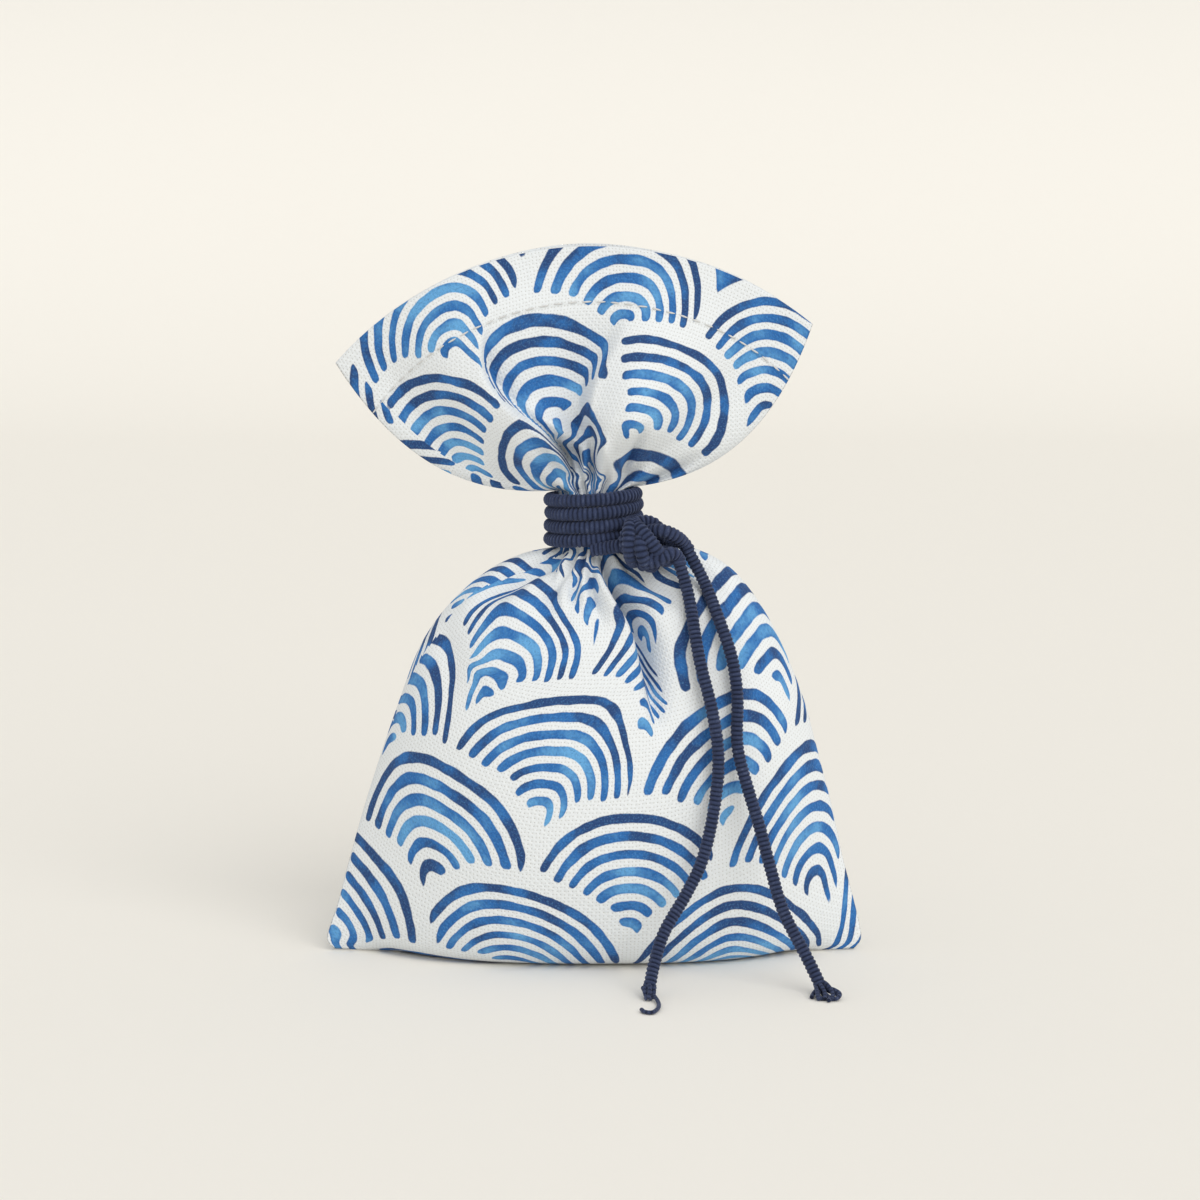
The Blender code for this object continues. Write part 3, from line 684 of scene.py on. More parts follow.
class Nodes:
    """Adds nodes to one tree: type, settings, then the values or links of its sockets."""

    def __init__(self, tree):
        self.tree = tree

    def add(self, kind, settings=None, sockets=None, output=0):
        node = self.tree.nodes.new(kind)
        for name, value in (settings or {}).items():
            setattr(node, name, value)
        for name, value in (sockets or {}).items():
            plug(self.tree, node.inputs[name], value)
        return Link(self.tree, node.outputs[output]) if len(node.outputs) else node

    def between(self, low, high, value):
        """Smooth step of a value from 0 at low to 1 at high."""
        return self.add("ShaderNodeMapRange", {"interpolation_type": "SMOOTHSTEP"},
                        {"Value": value, "From Min": low, "From Max": high})

    def noise(self, vector, scale, detail=2.0, roughness=0.5):
        return self.add("ShaderNodeTexNoise", None,
                        {"Vector": vector, "Scale": scale, "Detail": detail,
                         "Roughness": roughness})

    def chance(self, x, y):
        """A random share that stays the same for the same x and y."""
        return self.add("ShaderNodeTexWhiteNoise", {"noise_dimensions": "2D"},
                        {"Vector": self.vector(x, y)})

    def mix(self, share, first, second):
        """Mix two colours."""
        return self.add("ShaderNodeMix", {"data_type": "RGBA"},
                        {0: share, 6: first, 7: second}, output=2)

    def vector(self, x, y, z=0.0):
        return self.add("ShaderNodeCombineXYZ", None, {"X": x, "Y": y, "Z": z})

    def parts(self, vector):
        """A vector's X; its Y and Z are other outputs."""
        return self.add("ShaderNodeSeparateXYZ", None, {"Vector": vector})

    def stored(self, name, output="Vector"):
        """An attribute of the mesh."""
        return self.add("ShaderNodeAttribute", {"attribute_name": name}, output=output)

    def bump(self, height, strength, distance):
        return self.add("ShaderNodeBump", None,
                        {"Strength": strength, "Distance": distance, "Height": height})

    def spot(self):
        """Object coordinates."""
        return self.add("ShaderNodeTexCoord", None, output="Object")


def new_finish(name, constants):
    """A node material with constant shader values, its nodes helper and its shader."""
    finish = bpy.data.materials.new(name)
    finish.use_nodes = True
    tree = finish.node_tree
    tree.nodes.clear()
    nodes = Nodes(tree)
    shader = nodes.add("ShaderNodeBsdfPrincipled", None, {"Roughness": 0.9, **constants})
    nodes.add("ShaderNodeOutputMaterial", None, {"Surface": shader})
    return finish, nodes, shader.socket.node


def feed(nodes, shader, links):
    """Give the shader what changes over the surface."""
    for name, value in links.items():
        plug(nodes.tree, shader.inputs[name], value)


def srgb(red, green, blue):
    """Linear colour from 0 to 255 screen values."""
    return tuple(c / 12.92 if c <= 0.04045 else ((c + 0.055) / 1.055) ** 2.4
                 for c in (red / 255.0, green / 255.0, blue / 255.0))


def cotton_finish(look):
    """Coarse plain-weave cotton with brushed wave arcs."""
    finish, n, shader = new_finish("printed_cotton", {
        "Specular IOR Level": 0.15, "Sheen Weight": 0.03, "Sheen Roughness": 0.6})
    flat = n.parts(n.add("ShaderNodeUVMap", {"uv_map": "cloth"}))
    u = flat * (2.0 * PANEL)
    v = flat.out("Y") * (2.0 * PANEL)
    mm = n.vector(u, v)
    place = n.parts(n.stored("wave_place"))
    wave = n.parts(n.stored("wave_look"))
    arcs, seed = wave, wave.out("Y")
    room = place.out("Z")

    # Brushed arcs, one inside the other.
    wobble = (n.noise(mm, 0.05, 0.0) - 0.5) * 0.08 + (n.noise(mm, 0.30, 1.0) - 0.5) * 0.015
    power = wave.out("Z").does("MAXIMUM", 1.5)
    across = place.does("ABSOLUTE") ** power
    up = place.out("Y").does("MAXIMUM", 0.0) ** power
    reach = (across + up) ** (1.0 / power) + wobble
    step = (1.0 - reach) * arcs - WAVE_MARGIN
    ring = step.does("ROUND").does("MAXIMUM", 0.0).does("MINIMUM", arcs * 0.88 - 0.66)
    off = (step - ring).does("ABSOLUTE")
    chance = n.chance(ring, seed)
    other = n.chance(ring + 31.0, seed)
    end = ((room - 0.9 - 1.3 * other) / 1.1).does("MAXIMUM", 0.0).does("MINIMUM", 1.0)
    floor = place.out("Y") * 6.0 + 1.0 + 0.6 * other
    end = end.does("MINIMUM", floor.does("MAXIMUM", 0.0))
    rounded = (1.0 - (1.0 - end) ** 2.0) ** 0.5
    width = (look.stroke_share + (chance - 0.5) * 0.06 + (n.noise(mm, 0.2, 1.0) - 0.5) * 0.18)
    edge = width * rounded
    feather = (n.noise(mm, 3.2, 2.0) - 0.5) * 0.05
    ink = n.between(0.035, -0.035, off - edge + feather) * (end * 5.0).does("MINIMUM", 1.0)

    # Plain weave: threads over and under, pinholes where they cross.
    pull = (n.noise(mm, 0.5, 1.0) - 0.5) * 0.5
    a, b = ((place_on * (math.pi / look.weave_pitch)).does("SINE")
            for place_on in (u + pull, v - pull))
    hole = (1.0 - a.does("ABSOLUTE")) * (1.0 - b.does("ABSOLUTE"))
    slub = n.noise(n.vector(u * 0.12, v * 1.5), 1.0)
    slub_up = n.noise(n.vector(u * 1.5, v * 0.12), 1.0)
    hem = n.between(0.8, 0.0, (v - HEM_LINE).does("ABSOLUTE"))
    height = a * b * 0.42 + (slub + slub_up) * 0.5 - hole - hem * 1.6

    # Watercolour tone along each stroke, darker where the colour pooled.
    tone = chance * 0.36 + (n.noise(mm, 0.13, 1.0) - 0.5) * 1.8 + 0.03
    tone = tone + n.between(0.0, 3.0, ring) * 0.42
    tone = tone - n.between(0.12, 0.26, off) * 0.10 - (1.0 - end) * 0.12
    tone = tone + (n.noise(mm, 1.3, 3.0, 0.6) - 0.5) * 0.55
    deep, mid, pale = (tuple(look.deep_blue), tuple(look.mid_blue), tuple(look.pale_blue))
    colour = n.mix(n.between(0.04, 0.42, tone), deep, mid)
    colour = n.mix(n.between(0.42, 0.95, tone), colour, pale)
    grain = n.noise(mm, 2.6, 2.0, 0.7) - 0.5
    missed = n.between(0.45, 0.95, hole + (n.noise(mm, 1.1, 1.0) - 0.5) * 0.6)
    colour = n.mix(missed * 0.16, colour, pale)
    colour = n.mix(n.between(0.0, 0.20, grain) * 0.45, colour, deep)
    colour = n.mix(n.between(0.0, 0.20, grain * -1.0) * 0.30, colour, pale)

    plain = tuple(look.cloth_white)
    shaded = tuple(k * c for k, c in zip((0.64, 0.60, 0.54), plain))
    cloth = n.mix(n.between(0.30, 0.90, hole) * 0.95, plain, shaded)
    cloth = n.mix(n.between(0.55, 0.9, slub * slub_up * 2.0) * 0.25, cloth,
                  tuple(0.9 * c for c in plain))
    cover = ink * (0.97 - missed * 0.08)
    feed(n, shader, {"Base Color": n.mix(cover, cloth, colour),
                     "Roughness": 0.93 - 0.06 * ink,
                     "Normal": n.bump(height, 0.55, 0.00016)})
    return finish


def cord_finish(look):
    """Twisted navy yarn over a core, painted highlight on the ribs, painted shade in the grooves.
    """
    finish, n, shader = new_finish("navy_cord", {
        "Specular IOR Level": 0.2, "Sheen Weight": 0.35, "Sheen Roughness": 0.5,
        "Sheen Tint": (0.42, 0.47, 0.66)})
    run = n.stored("run", output="Fac")
    spot = n.spot()
    fine = n.noise(spot, 4200.0, 3.0, 0.6)
    broad = n.noise(spot, 620.0)
    rib = (run * (math.pi / look.rib_pitch)).does("SINE").does("ABSOLUTE")
    level = rib * 0.55 + fine * 0.55 + (broad - 0.5) * 0.5
    # Painted shade: the groove colour where the ribs dip, mixed with random darker tone from the
    # noise.
    colour = n.mix(n.between(0.25, 0.85, level), tuple(look.cord_groove_shade), tuple(look.cord_blue))
    # Painted highlight: a pale blue on the rib crests stands in for light on the ribs.
    colour = n.mix(n.between(0.80, 1.15, level) * 0.7, colour, tuple(look.cord_rib_highlight))
    feed(n, shader, {"Base Color": colour, "Normal": n.bump(fine, 0.7, 0.00012)})
    return finish


def thread_finish(look):
    """Sewing thread: off-white with a faint twist."""
    finish, n, shader = new_finish("sewing_thread", {})
    streak = n.noise(n.spot(), 2600.0)
    shade = tuple(0.78 * c for c in look.thread)
    feed(n, shader, {"Base Color": n.mix(streak, shade, tuple(look.thread)),
                     "Roughness": 0.75 + 0.1 * streak})
    return finish


def route_tree(name, inputs):
    """A geometry tree with named numbers: its nodes helper, its inputs and its route's curve."""
    tree = bpy.data.node_groups.new(name, "GeometryNodeTree")
    tree.interface.new_socket("Route", in_out="INPUT", socket_type="NodeSocketGeometry")
    for key, default in inputs.items():
        kind = "NodeSocketInt" if isinstance(default, int) else "NodeSocketFloat"
        tree.interface.new_socket(key, in_out="INPUT", socket_type=kind).default_value = default
    n = Nodes(tree)
    given = n.add("NodeGroupInput")
    return n, given, n.add("GeometryNodeMeshToCurve", None, {"Mesh": given})


def hand_out(n, name, geometry, finish):
    """End a geometry tree: plain smooth geometry with its material."""
    n.tree.interface.new_socket(name, in_out="OUTPUT", socket_type="NodeSocketGeometry")
    made = n.add("GeometryNodeRealizeInstances", None, {"Geometry": geometry})
    made = n.add("GeometryNodeSetShadeSmooth", None, {"Geometry": made})
    made = n.add("GeometryNodeSetMaterial", None, {"Geometry": made, "Material": finish})
    n.add("NodeGroupOutput", None, {name: made})
    return n.tree


def ribbed_cord_tree(finish):
    """Geometry tree: a tube along a line, wrapped with close ribs."""
    n, given, line = route_tree("Ribbed cord", {
        "Diameter": 0.0023, "Rib Pitch": 0.0008, "Rib Depth": 0.00022, "Rib Slant": 1.0,
        "Unevenness": 0.00016, "Step": 0.00013, "Sides": 18})
    line = n.add("GeometryNodeResampleCurve", {"mode": "LENGTH"},
                 {"Curve": line, "Length": given.out("Step")})
    spot = n.add("GeometryNodeSplineParameter", output="Length")
    store = {"data_type": "FLOAT", "domain": "POINT"}
    line = n.add("GeometryNodeStoreNamedAttribute", store,
                 {"Geometry": line, "Name": "run", "Value": spot})
    ring = n.add("GeometryNodeCurvePrimitiveCircle", {"mode": "RADIUS"},
                 {"Resolution": given.out("Sides"),
                  "Radius": given.out("Diameter") * 0.5 - given.out("Rib Depth") * 0.4})
    around = n.add("GeometryNodeSplineParameter", output="Factor")
    ring = n.add("GeometryNodeStoreNamedAttribute", store,
                 {"Geometry": ring, "Name": "turn", "Value": around})
    tube = n.add("GeometryNodeCurveToMesh", None,
                 {"Curve": line, "Profile Curve": ring, "Fill Caps": True})
    run = n.add("GeometryNodeInputNamedAttribute", {"data_type": "FLOAT"}, {"Name": "run"})
    turn = n.add("GeometryNodeInputNamedAttribute", {"data_type": "FLOAT"}, {"Name": "turn"})
    lie = (run / given.out("Rib Pitch") + turn * given.out("Rib Slant")) * math.pi
    rib = lie.does("SINE").does("ABSOLUTE") - 0.6
    position = n.add("GeometryNodeInputPosition")
    rough = n.noise(position, 1400.0) - 0.5
    out = rib * given.out("Rib Depth") + rough * given.out("Unevenness")
    push = n.add("ShaderNodeVectorMath", {"operation": "SCALE"},
                 {0: n.add("GeometryNodeInputNormal"), "Scale": out})
    tube = n.add("GeometryNodeSetPosition", None, {"Geometry": tube, "Offset": push})
    return hand_out(n, "Cord", tube, finish)


def stitch_tree(finish):
    """Geometry tree: running stitches spaced along a line."""
    n, given, line = route_tree("Stitch row", {
        "Stitch Pitch": 0.0025, "Stitch Length": 0.0017, "Thread": 0.00034, "Seed": 5})
    spots = n.add("GeometryNodeCurveToPoints", {"mode": "LENGTH"},
                  {"Curve": line, "Length": given.out("Stitch Pitch")})
    stitch = n.add("GeometryNodeMeshUVSphere", None,
                   {"Segments": 8, "Rings": 6, "Radius": 0.5})
    wobble = n.add("FunctionNodeRandomValue", {"data_type": "FLOAT_VECTOR"},
                   {0: (-0.10, -0.10, -0.10), 1: (0.10, 0.10, 0.10), "Seed": given.out("Seed")})
    placed = n.add("GeometryNodeInstanceOnPoints", None, {
        "Points": spots, "Instance": stitch, "Rotation": spots.out("Rotation"),
        "Scale": n.vector(given.out("Thread"), given.out("Thread"), given.out("Stitch Length"))})
    placed = n.add("GeometryNodeRotateInstances", None, {"Instances": placed, "Rotation": wobble})
    return hand_out(n, "Stitches", placed, finish)


def ribbed(name, mesh, look, diameter, step, sides):
    """A piece of ribbed cord along a line mesh."""
    return grown(name, mesh, bpy.data.node_groups["Ribbed cord"],
                 {"Diameter": diameter, "Rib Pitch": look.rib_pitch,
                  "Rib Depth": look.rib_depth, "Step": step, "Sides": sides})


def line_mesh(name, chains, closed=0):
    """Chains of edges through points in metres; the first ones may be closed."""
    points, edges = [], []
    for number, chain in enumerate(chains):
        first = len(points)
        points += [tuple(map(float, p)) for p in chain]
        edges += [(k, k + 1) for k in range(first, len(points) - 1)]
        if number < closed:
            edges.append((len(points) - 1, first))
    mesh = bpy.data.meshes.new(name)
    mesh.from_pydata(points, edges, [])
    return mesh


def strands(routes):
    """Close points in metres along smooth lines given in mm."""
    return [smooth_line(np.array(route) * MM, 14) for route in routes]


def grown(name, mesh, tree, inputs):
    """Run a mesh through a geometry tree and keep the result as a plain object."""
    seed = bpy.data.objects.new(name + "_route", mesh)
    bpy.context.scene.collection.objects.link(seed)
    modifier = seed.modifiers.new("tree", "NODES")
    modifier.node_group = tree
    ways = {item.name: item.identifier for item in tree.interface.items_tree
            if item.in_out == "INPUT"}
    for key, value in inputs.items():
        modifier[ways[key]] = value
    graph = bpy.context.evaluated_depsgraph_get()
    made = bpy.data.meshes.new_from_object(seed.evaluated_get(graph))
    made.name = name
    bpy.data.objects.remove(seed)
    bpy.data.meshes.remove(mesh)
    piece = bpy.data.objects.new(name, made)
    bpy.context.scene.collection.objects.link(piece)
    if not made.polygons:
        raise RuntimeError(name + " came out empty")
    return piece


# Routes of the tails and the turns, as in the part's source, and the drawn sizes of
# the cord, in metres.
TAIL_LEFT = [(0.0148, -0.0109, 0.0743), (0.0167, -0.0121, 0.0677), (0.0185, -0.0167, 0.0574),
             (0.0208, -0.0188, 0.0481), (0.0219, -0.0197, 0.0400), (0.0212, -0.0207, 0.0314),
             (0.0192, -0.0222, 0.0226), (0.0163, -0.0242, 0.0167), (0.0124, -0.0272, 0.0106),
             (0.0106, -0.0297, 0.0056), (0.0095, -0.0325, 0.0010)]
TAIL_RIGHT = [(0.0161, -0.0088, 0.0763), (0.0194, -0.0092, 0.0700), (0.0220, -0.0124, 0.0637),
              (0.0243, -0.0146, 0.0571), (0.0253, -0.0161, 0.0504), (0.0253, -0.0180, 0.0419),
              (0.0271, -0.0193, 0.0345), (0.0290, -0.0206, 0.0284), (0.0311, -0.0228, 0.0206),
              (0.0333, -0.0252, 0.0135), (0.0373, -0.0282, 0.0060), (0.0398, -0.0305, 0.0011)]
CORD = 0.0023
WRAP_CORD = 0.00248
WRAP_RADIUS = 0.0078
WRAP_FOOT = 0.0751
WRAP_PITCH = 0.0023
WRAP_TURNS = 4.0
WRAP_START = math.radians(-50.0)
KNOT_CORD = 0.002565
KNOT_RADIUS = 0.0030
KNOT_MIDDLE = (0.00969, -0.00904, 0.0765)


def wrap_route():
    """The turns round the neck, rising from the knot; the last end dives behind them."""
    t = np.linspace(0.0, 1.085, 800)
    turn = WRAP_START + 2.0 * math.pi * WRAP_TURNS * t
    reach = WRAP_RADIUS + 0.00010 * np.sin(2.3 * turn) - 0.0026 * ease(1.015, 1.085, t)
    rise = 0.00016 * np.sin(0.9 * turn + 0.6) * ease(0.02, 0.1, t)
    x = reach * np.cos(turn)
    y = reach * np.sin(turn)
    z = WRAP_FOOT + WRAP_PITCH * WRAP_TURNS * np.minimum(t, 1.0) + NECK_RISE * x + rise
    return np.stack([x, y, z], axis=1)


def knot_route():
    """The knot's three lobes, tipped to lie against the turns."""
    t = np.linspace(0.0, 2.0 * math.pi, 320, endpoint=False)
    reach = KNOT_RADIUS * (1.0 + 0.36 * np.cos(3.0 * t))
    x = 1.2 * reach * np.cos(2.0 * t)
    y = 0.52 * KNOT_RADIUS * np.sin(3.0 * t)
    z = reach * np.sin(2.0 * t)
    tip, side = math.radians(-30.0), math.radians(47.0)
    y, z = y * math.cos(tip) - z * math.sin(tip), y * math.sin(tip) + z * math.cos(tip)
    x, y = x * math.cos(side) - y * math.sin(side), x * math.sin(side) + y * math.cos(side)
    return np.stack([x, y, z], axis=1) + np.array(KNOT_MIDDLE)


# Yarn of the loose ends, finer and smoother than the cord.
LOOSE_YARN = {"Diameter": 0.00076, "Rib Pitch": 0.0004, "Rib Depth": 0.00006,
              "Unevenness": 0.00004, "Sides": 8}
# Strands that fill the knot and join it to the turns and the tails, in mm.
KNOT_STRANDS = [
    [(9.6, -9.6, 78.8), (12.2, -11.0, 79.0), (14.4, -10.4, 78.0), (16.1, -8.8, 76.3),
     (16.9, -8.9, 75.0)],
    [(9.4, -12.0, 75.2), (11.6, -12.6, 74.5), (13.6, -12.0, 75.1), (14.8, -10.9, 74.3),
     (15.2, -11.2, 73.0)],
    [(6.8, -8.4, 80.4), (6.4, -11.2, 79.6), (6.2, -12.5, 77.2), (6.5, -11.8, 74.6),
     (7.2, -9.4, 73.2)],
    [(7.0, -9.6, 80.2), (8.4, -11.9, 79.2), (10.0, -12.8, 77.4), (11.4, -12.6, 75.4),
     (12.6, -11.0, 73.9), (13.0, -9.6, 73.6)],
    [(8.4, -10.6, 73.0), (9.6, -12.2, 73.6), (11.4, -12.3, 74.0), (13.0, -11.4, 74.9)],
    [(-0.5, -7.8, 75.2), (2.6, -8.6, 75.7), (5.0, -9.6, 76.2), (7.4, -10.6, 76.6),
     (9.6, -11.0, 76.6)],
]
# The loose curl at the left tail's end and the frayed loops at the right one, in mm.
LOOSE_THREAD = [[(9.6, -32.6, 1.3), (10.5, -34.4, 0.9), (11.2, -37.2, 0.44), (11.0, -40.6, 0.44),
                 (10.0, -43.0, 0.44), (8.7, -42.6, 0.44), (8.2, -41.2, 0.44)],
                [(9.0, -31.8, 2.4), (8.8, -33.2, 1.6), (9.1, -34.2, 0.6)],
                [(10.2, -31.9, 2.4), (10.5, -33.3, 1.5), (10.1, -34.3, 0.5)],
                [(9.6, -31.8, 2.8), (9.7, -33.8, 1.9), (9.5, -34.9, 0.6)],
                [(8.5, -31.6, 1.7), (9.2, -33.5, 0.9), (9.9, -34.6, 0.44)],
                [(10.6, -31.8, 1.7), (9.9, -33.9, 1.1), (8.9, -34.6, 0.44)]]
FRAYED_LOOPS = [
    [(39.6, -30.3, 1.8), (40.5, -31.6, 1.7), (41.9, -32.6, 1.5), (42.7, -33.6, 1.0),
     (42.0, -34.6, 0.5), (41.0, -33.9, 0.5), (40.2, -32.4, 0.8), (39.8, -30.8, 1.1)],
    [(39.3, -30.0, 1.5), (39.2, -31.6, 1.0), (38.9, -33.2, 0.6), (39.6, -34.3, 0.44),
     (40.3, -33.3, 0.6), (40.1, -31.2, 1.0)],
    [(39.9, -30.2, 1.1), (41.0, -30.9, 0.8), (42.2, -31.6, 0.5), (42.9, -31.3, 0.44)],
    [(39.6, -30.4, 0.9), (40.0, -32.3, 0.5), (40.8, -34.0, 0.44), (40.6, -35.6, 0.44)],
    [(39.5, -30.2, 1.4), (38.6, -31.0, 0.9), (38.0, -32.2, 0.44), (37.8, -33.4, 0.44)],
    [(38.9, -29.6, 2.4), (39.6, -31.6, 1.9), (40.1, -33.2, 1.1), (40.0, -34.6, 0.44)],
    [(39.4, -29.8, 2.6), (40.6, -31.6, 2.2), (41.4, -33.2, 1.2), (41.3, -34.8, 0.44)],
    [(38.6, -29.6, 1.8), (38.7, -31.6, 1.5), (38.8, -33.4, 0.9), (38.9, -34.6, 0.44)],
]


def tail_route(points, spacing=0.0003):
    """Closely spaced points on the smooth route of a tail."""
    line = smooth_line(points, 24)
    size = float(np.linalg.norm(np.diff(line, axis=0), axis=1).sum())
    return along(line, np.linspace(0.0, 1.0, int(size / spacing))), size


def colour(name, description, screen):
    """A colour property with its screen values as the default."""
    return FloatVectorProperty(name=name, description=description, subtype="COLOR",
                               default=srgb(*screen), min=0.0, max=1.0)


class PouchCloth(PropertyGroup):
    """Sizes and colours of the printed cloth."""
    weave_pitch: FloatProperty(name="Weave pitch", description="Room of one thread, in millimetres",
                               default=0.68, min=0.3, max=2.0)
    stroke_share: FloatProperty(name="Stroke share", description="Half a stroke as a share of "
                                "the room from arc to arc", default=0.275, subtype="FACTOR",
                                min=0.1, max=0.45)
    cloth_white: colour("Cloth", "Bare cotton", (234, 238, 240))
    deep_blue: colour("Deep blue", "Darkest of the print", (5, 58, 116))
    mid_blue: colour("Mid blue", "Middle tone of the print", (22, 104, 177))
    pale_blue: colour("Pale blue", "Thinnest wash of the print", (98, 168, 222))


class PouchCord(PropertyGroup):
    """Sizes and colours of the cord and the thread."""
    rib_pitch: FloatProperty(name="Rib pitch", description="From rib to rib along the cord",
                             default=0.0008, unit="LENGTH", min=0.0003, max=0.003)
    rib_depth: FloatProperty(name="Rib depth", description="Height of the ribs",
                             default=0.00024, unit="LENGTH", min=0.0, max=0.001)
    cord_blue: colour("Cord", "Navy yarn", (52, 62, 91))
    # Painted shade between the ribs, also used for random darker tone.
    cord_groove_shade: colour("Cord grooves", "Between the ribs", (20, 27, 48))
    # Painted highlight on the rib crests.
    cord_rib_highlight: colour("Cord highlight", "Painted highlight on the ribs", (112, 122, 148))
    thread: colour("Thread", "Sewing thread", (226, 226, 224))


class PouchStage(PropertyGroup):
    """Floor, lamps and camera."""
    floor: colour("Floor", "Colour of the sweep", (242, 239, 232))
    wall: colour("Wall", "Colour high up the sweep", (204, 203, 199))
    key: FloatProperty(name="Key lamp", description="Strength of the soft key lamp",
                       default=1.25, min=0.0, max=10.0)
    fill: FloatProperty(name="Fill", description="Strength of the even light", default=0.71,
                        min=0.0, max=2.0)
    lens: FloatProperty(name="Lens", description="Focal length in millimetres",
                        default=LENS, min=20.0, max=300.0)


def empty_piece(name, mesh):
    """Link a mesh as a finished object at the origin."""
    piece = bpy.data.objects.new(name, mesh)
    bpy.context.scene.collection.objects.link(piece)
    return piece


class POUCH_OT_bag(Operator):
    """Build the stuffed bag with its folds, mouth and print"""
    bl_idname = "pouch.bag"
    bl_label = "Bag"

    def execute(self, context):
        mesh = cloth_mesh("cotton_bag")
        mesh.materials.append(cotton_finish(context.scene.pouch_cloth))
        piece = empty_piece("cotton_bag", mesh)
        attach(piece, "root")
        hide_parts("pouch_bag")
        return {"FINISHED"}


class POUCH_OT_hem(Operator):
    """Sew the hem of the mouth with running stitches"""
    bl_idname = "pouch.hem"
    bl_label = "Hem stitches"

    def execute(self, context):
        tree = stitch_tree(thread_finish(context.scene.pouch_cord))
        front, back, _, _, height = bag_surface()
        row = int(np.searchsorted(height, HEM_LINE))
        lines = []
        for layer, sheet in ((-1, front), (1, back)):
            out = grid_normals(sheet, layer)[row]
            lines.append((sheet[row] + 0.10 * out)[3:-3] * MM)
        piece = grown("hem_stitches", line_mesh("hem_stitches", lines), tree, {})
        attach(piece, "root")
        return {"FINISHED"}


class POUCH_OT_wraps(Operator):
    """Wind the ribbed cord round the neck"""
    bl_idname = "pouch.wraps"
    bl_label = "Cord turns"

    def execute(self, context):
        look = context.scene.pouch_cord
        ribbed_cord_tree(cord_finish(look))
        piece = ribbed("neck_cord", line_mesh("neck_cord", [wrap_route()]), look,
                       WRAP_CORD, step=0.00016, sides=16)
        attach(piece, "root")
        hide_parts("cord_wraps")
        return {"FINISHED"}


class POUCH_OT_knot(Operator):
    """Tie the knot at the front right of the neck"""
    bl_idname = "pouch.knot"
    bl_label = "Knot"

    def execute(self, context):
        route = line_mesh("front_knot", [knot_route()] + strands(KNOT_STRANDS), closed=1)
        piece = ribbed("front_knot", route, context.scene.pouch_cord,
                       KNOT_CORD, step=0.00014, sides=20)
        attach(piece, "root")
        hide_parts("cord_knot")
        return {"FINISHED"}


class POUCH_OT_tails(Operator):
    """Hang the two tails down the front to the floor"""
    bl_idname = "pouch.tails"
    bl_label = "Cord tails"

    def execute(self, context):
        look = context.scene.pouch_cord
        tree = bpy.data.node_groups["Ribbed cord"]
        for side, route, ends in (("left", TAIL_LEFT, LOOSE_THREAD),
                                  ("right", TAIL_RIGHT, FRAYED_LOOPS)):
            points, size = tail_route(route)
            name = "tail_" + side
            loose = grown(name + "_end", line_mesh(name + "_end", strands(ends)), tree,
                          LOOSE_YARN)
            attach(loose, "root")
            piece = ribbed(name, line_mesh(name, [points]), look, CORD, step=0.00013,
                           sides=16)
            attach(piece, "root")
            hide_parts("cord_tail_" + side)
        return {"FINISHED"}


# Where the sweep bends up and how wide the bend is, in metres, and the way the
# key lamp shines.
SWEEP_BEND = 0.9
SWEEP_RADIUS = 0.6
KEY_WAY = Vector((-0.52, 0.95, -0.95))


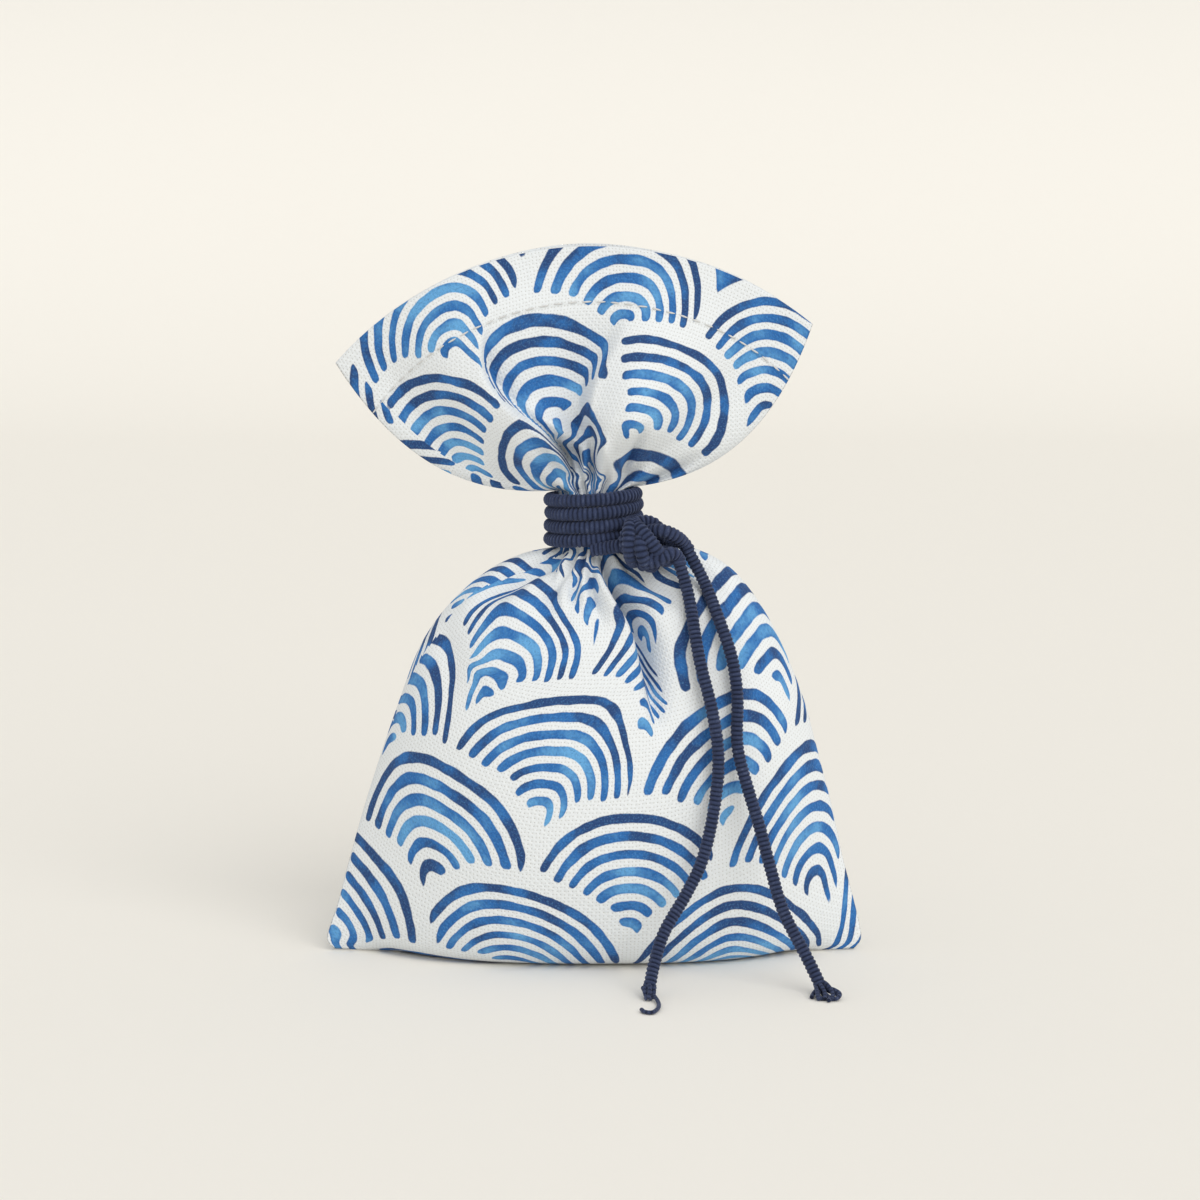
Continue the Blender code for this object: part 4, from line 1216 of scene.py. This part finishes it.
class POUCH_OT_stage(Operator):
    """Add the pale sweep, the soft lamps and the camera"""
    bl_idname = "pouch.stage"
    bl_label = "Stage"

    def execute(self, context):
        look = context.scene.pouch_stage
        scene = context.scene
        profile = [(-1.2, 0.0), (SWEEP_BEND, 0.0)]
        profile += [(SWEEP_BEND + SWEEP_RADIUS * math.sin(a), SWEEP_RADIUS * (1.0 - math.cos(a)))
                    for a in np.linspace(0.05, math.pi / 2.0, 24)]
        profile += [(SWEEP_BEND + SWEEP_RADIUS, 2.4)]
        points = [(x, y, z) for y, z in profile for x in (-2.0, 2.0)]
        faces = [(2 * k, 2 * k + 1, 2 * k + 3, 2 * k + 2) for k in range(len(profile) - 1)]
        mesh = bpy.data.meshes.new("sweep")
        mesh.from_pydata(points, [], faces)
        mesh.shade_smooth()
        finish, n, shader = new_finish("pale_sweep", {"Specular IOR Level": 0.0})
        rise = n.between(0.05, 0.62, n.parts(n.spot()).out("Z"))
        feed(n, shader, {"Base Color": n.mix(rise, tuple(look.floor), tuple(look.wall))})
        mesh.materials.append(finish)
        empty_piece("sweep", mesh)

        world = bpy.data.worlds.new("even light")
        world.use_nodes = True
        light = world.node_tree.nodes["Background"]
        light.inputs["Color"].default_value = (1.0, 0.995, 0.985, 1.0)
        light.inputs["Strength"].default_value = look.fill
        scene.world = world
        lamp = bpy.data.lights.new("key", "SUN")
        lamp.energy = look.key
        lamp.angle = math.radians(50.0)
        lamp.color = (1.0, 0.985, 0.96)
        key = bpy.data.objects.new("key", lamp)
        key.rotation_euler = KEY_WAY.to_track_quat("-Z", "Y").to_euler()
        scene.collection.objects.link(key)

        lens = bpy.data.cameras.new("camera")
        lens.lens = look.lens
        lens.clip_start = 0.01
        camera = bpy.data.objects.new("camera", lens)
        eye, aim = Vector(EYE * MM), Vector(AIM * MM)
        camera.location = eye
        camera.rotation_euler = (aim - eye).to_track_quat("-Z", "Y").to_euler()
        scene.collection.objects.link(camera)
        scene.camera = camera
        scene.view_settings.view_transform = "Standard"
        return {"FINISHED"}


PARTS = (POUCH_OT_bag, POUCH_OT_hem, POUCH_OT_wraps, POUCH_OT_knot, POUCH_OT_tails,
         POUCH_OT_stage)


class POUCH_PT_panel(Panel):
    """Buttons for each piece of the pouch"""
    bl_idname = "POUCH_PT_panel"
    bl_label = "Tied pouch"
    bl_space_type = "VIEW_3D"
    bl_region_type = "UI"
    bl_category = "Pouch"

    def draw(self, context):
        for part in PARTS:
            self.layout.operator(part.bl_idname)
        for group in (context.scene.pouch_cloth, context.scene.pouch_cord,
                      context.scene.pouch_stage):
            box = self.layout.box()
            for name in group.__annotations__:
                box.prop(group, name)


GROUPS = (("pouch_cloth", PouchCloth), ("pouch_cord", PouchCord), ("pouch_stage", PouchStage))


def register():
    for name, group in GROUPS:
        bpy.utils.register_class(group)
        setattr(bpy.types.Scene, name, PointerProperty(type=group))
    for part in PARTS + (POUCH_PT_panel,):
        bpy.utils.register_class(part)


def unregister():
    for part in reversed(PARTS + (POUCH_PT_panel,)):
        bpy.utils.unregister_class(part)
    for name, group in reversed(GROUPS):
        delattr(bpy.types.Scene, name)
        bpy.utils.unregister_class(group)


def main():
    register()
    for part in PARTS:
        group, name = part.bl_idname.split(".")
        getattr(getattr(bpy.ops, group), name)()


if __name__ == "__main__":
    main()
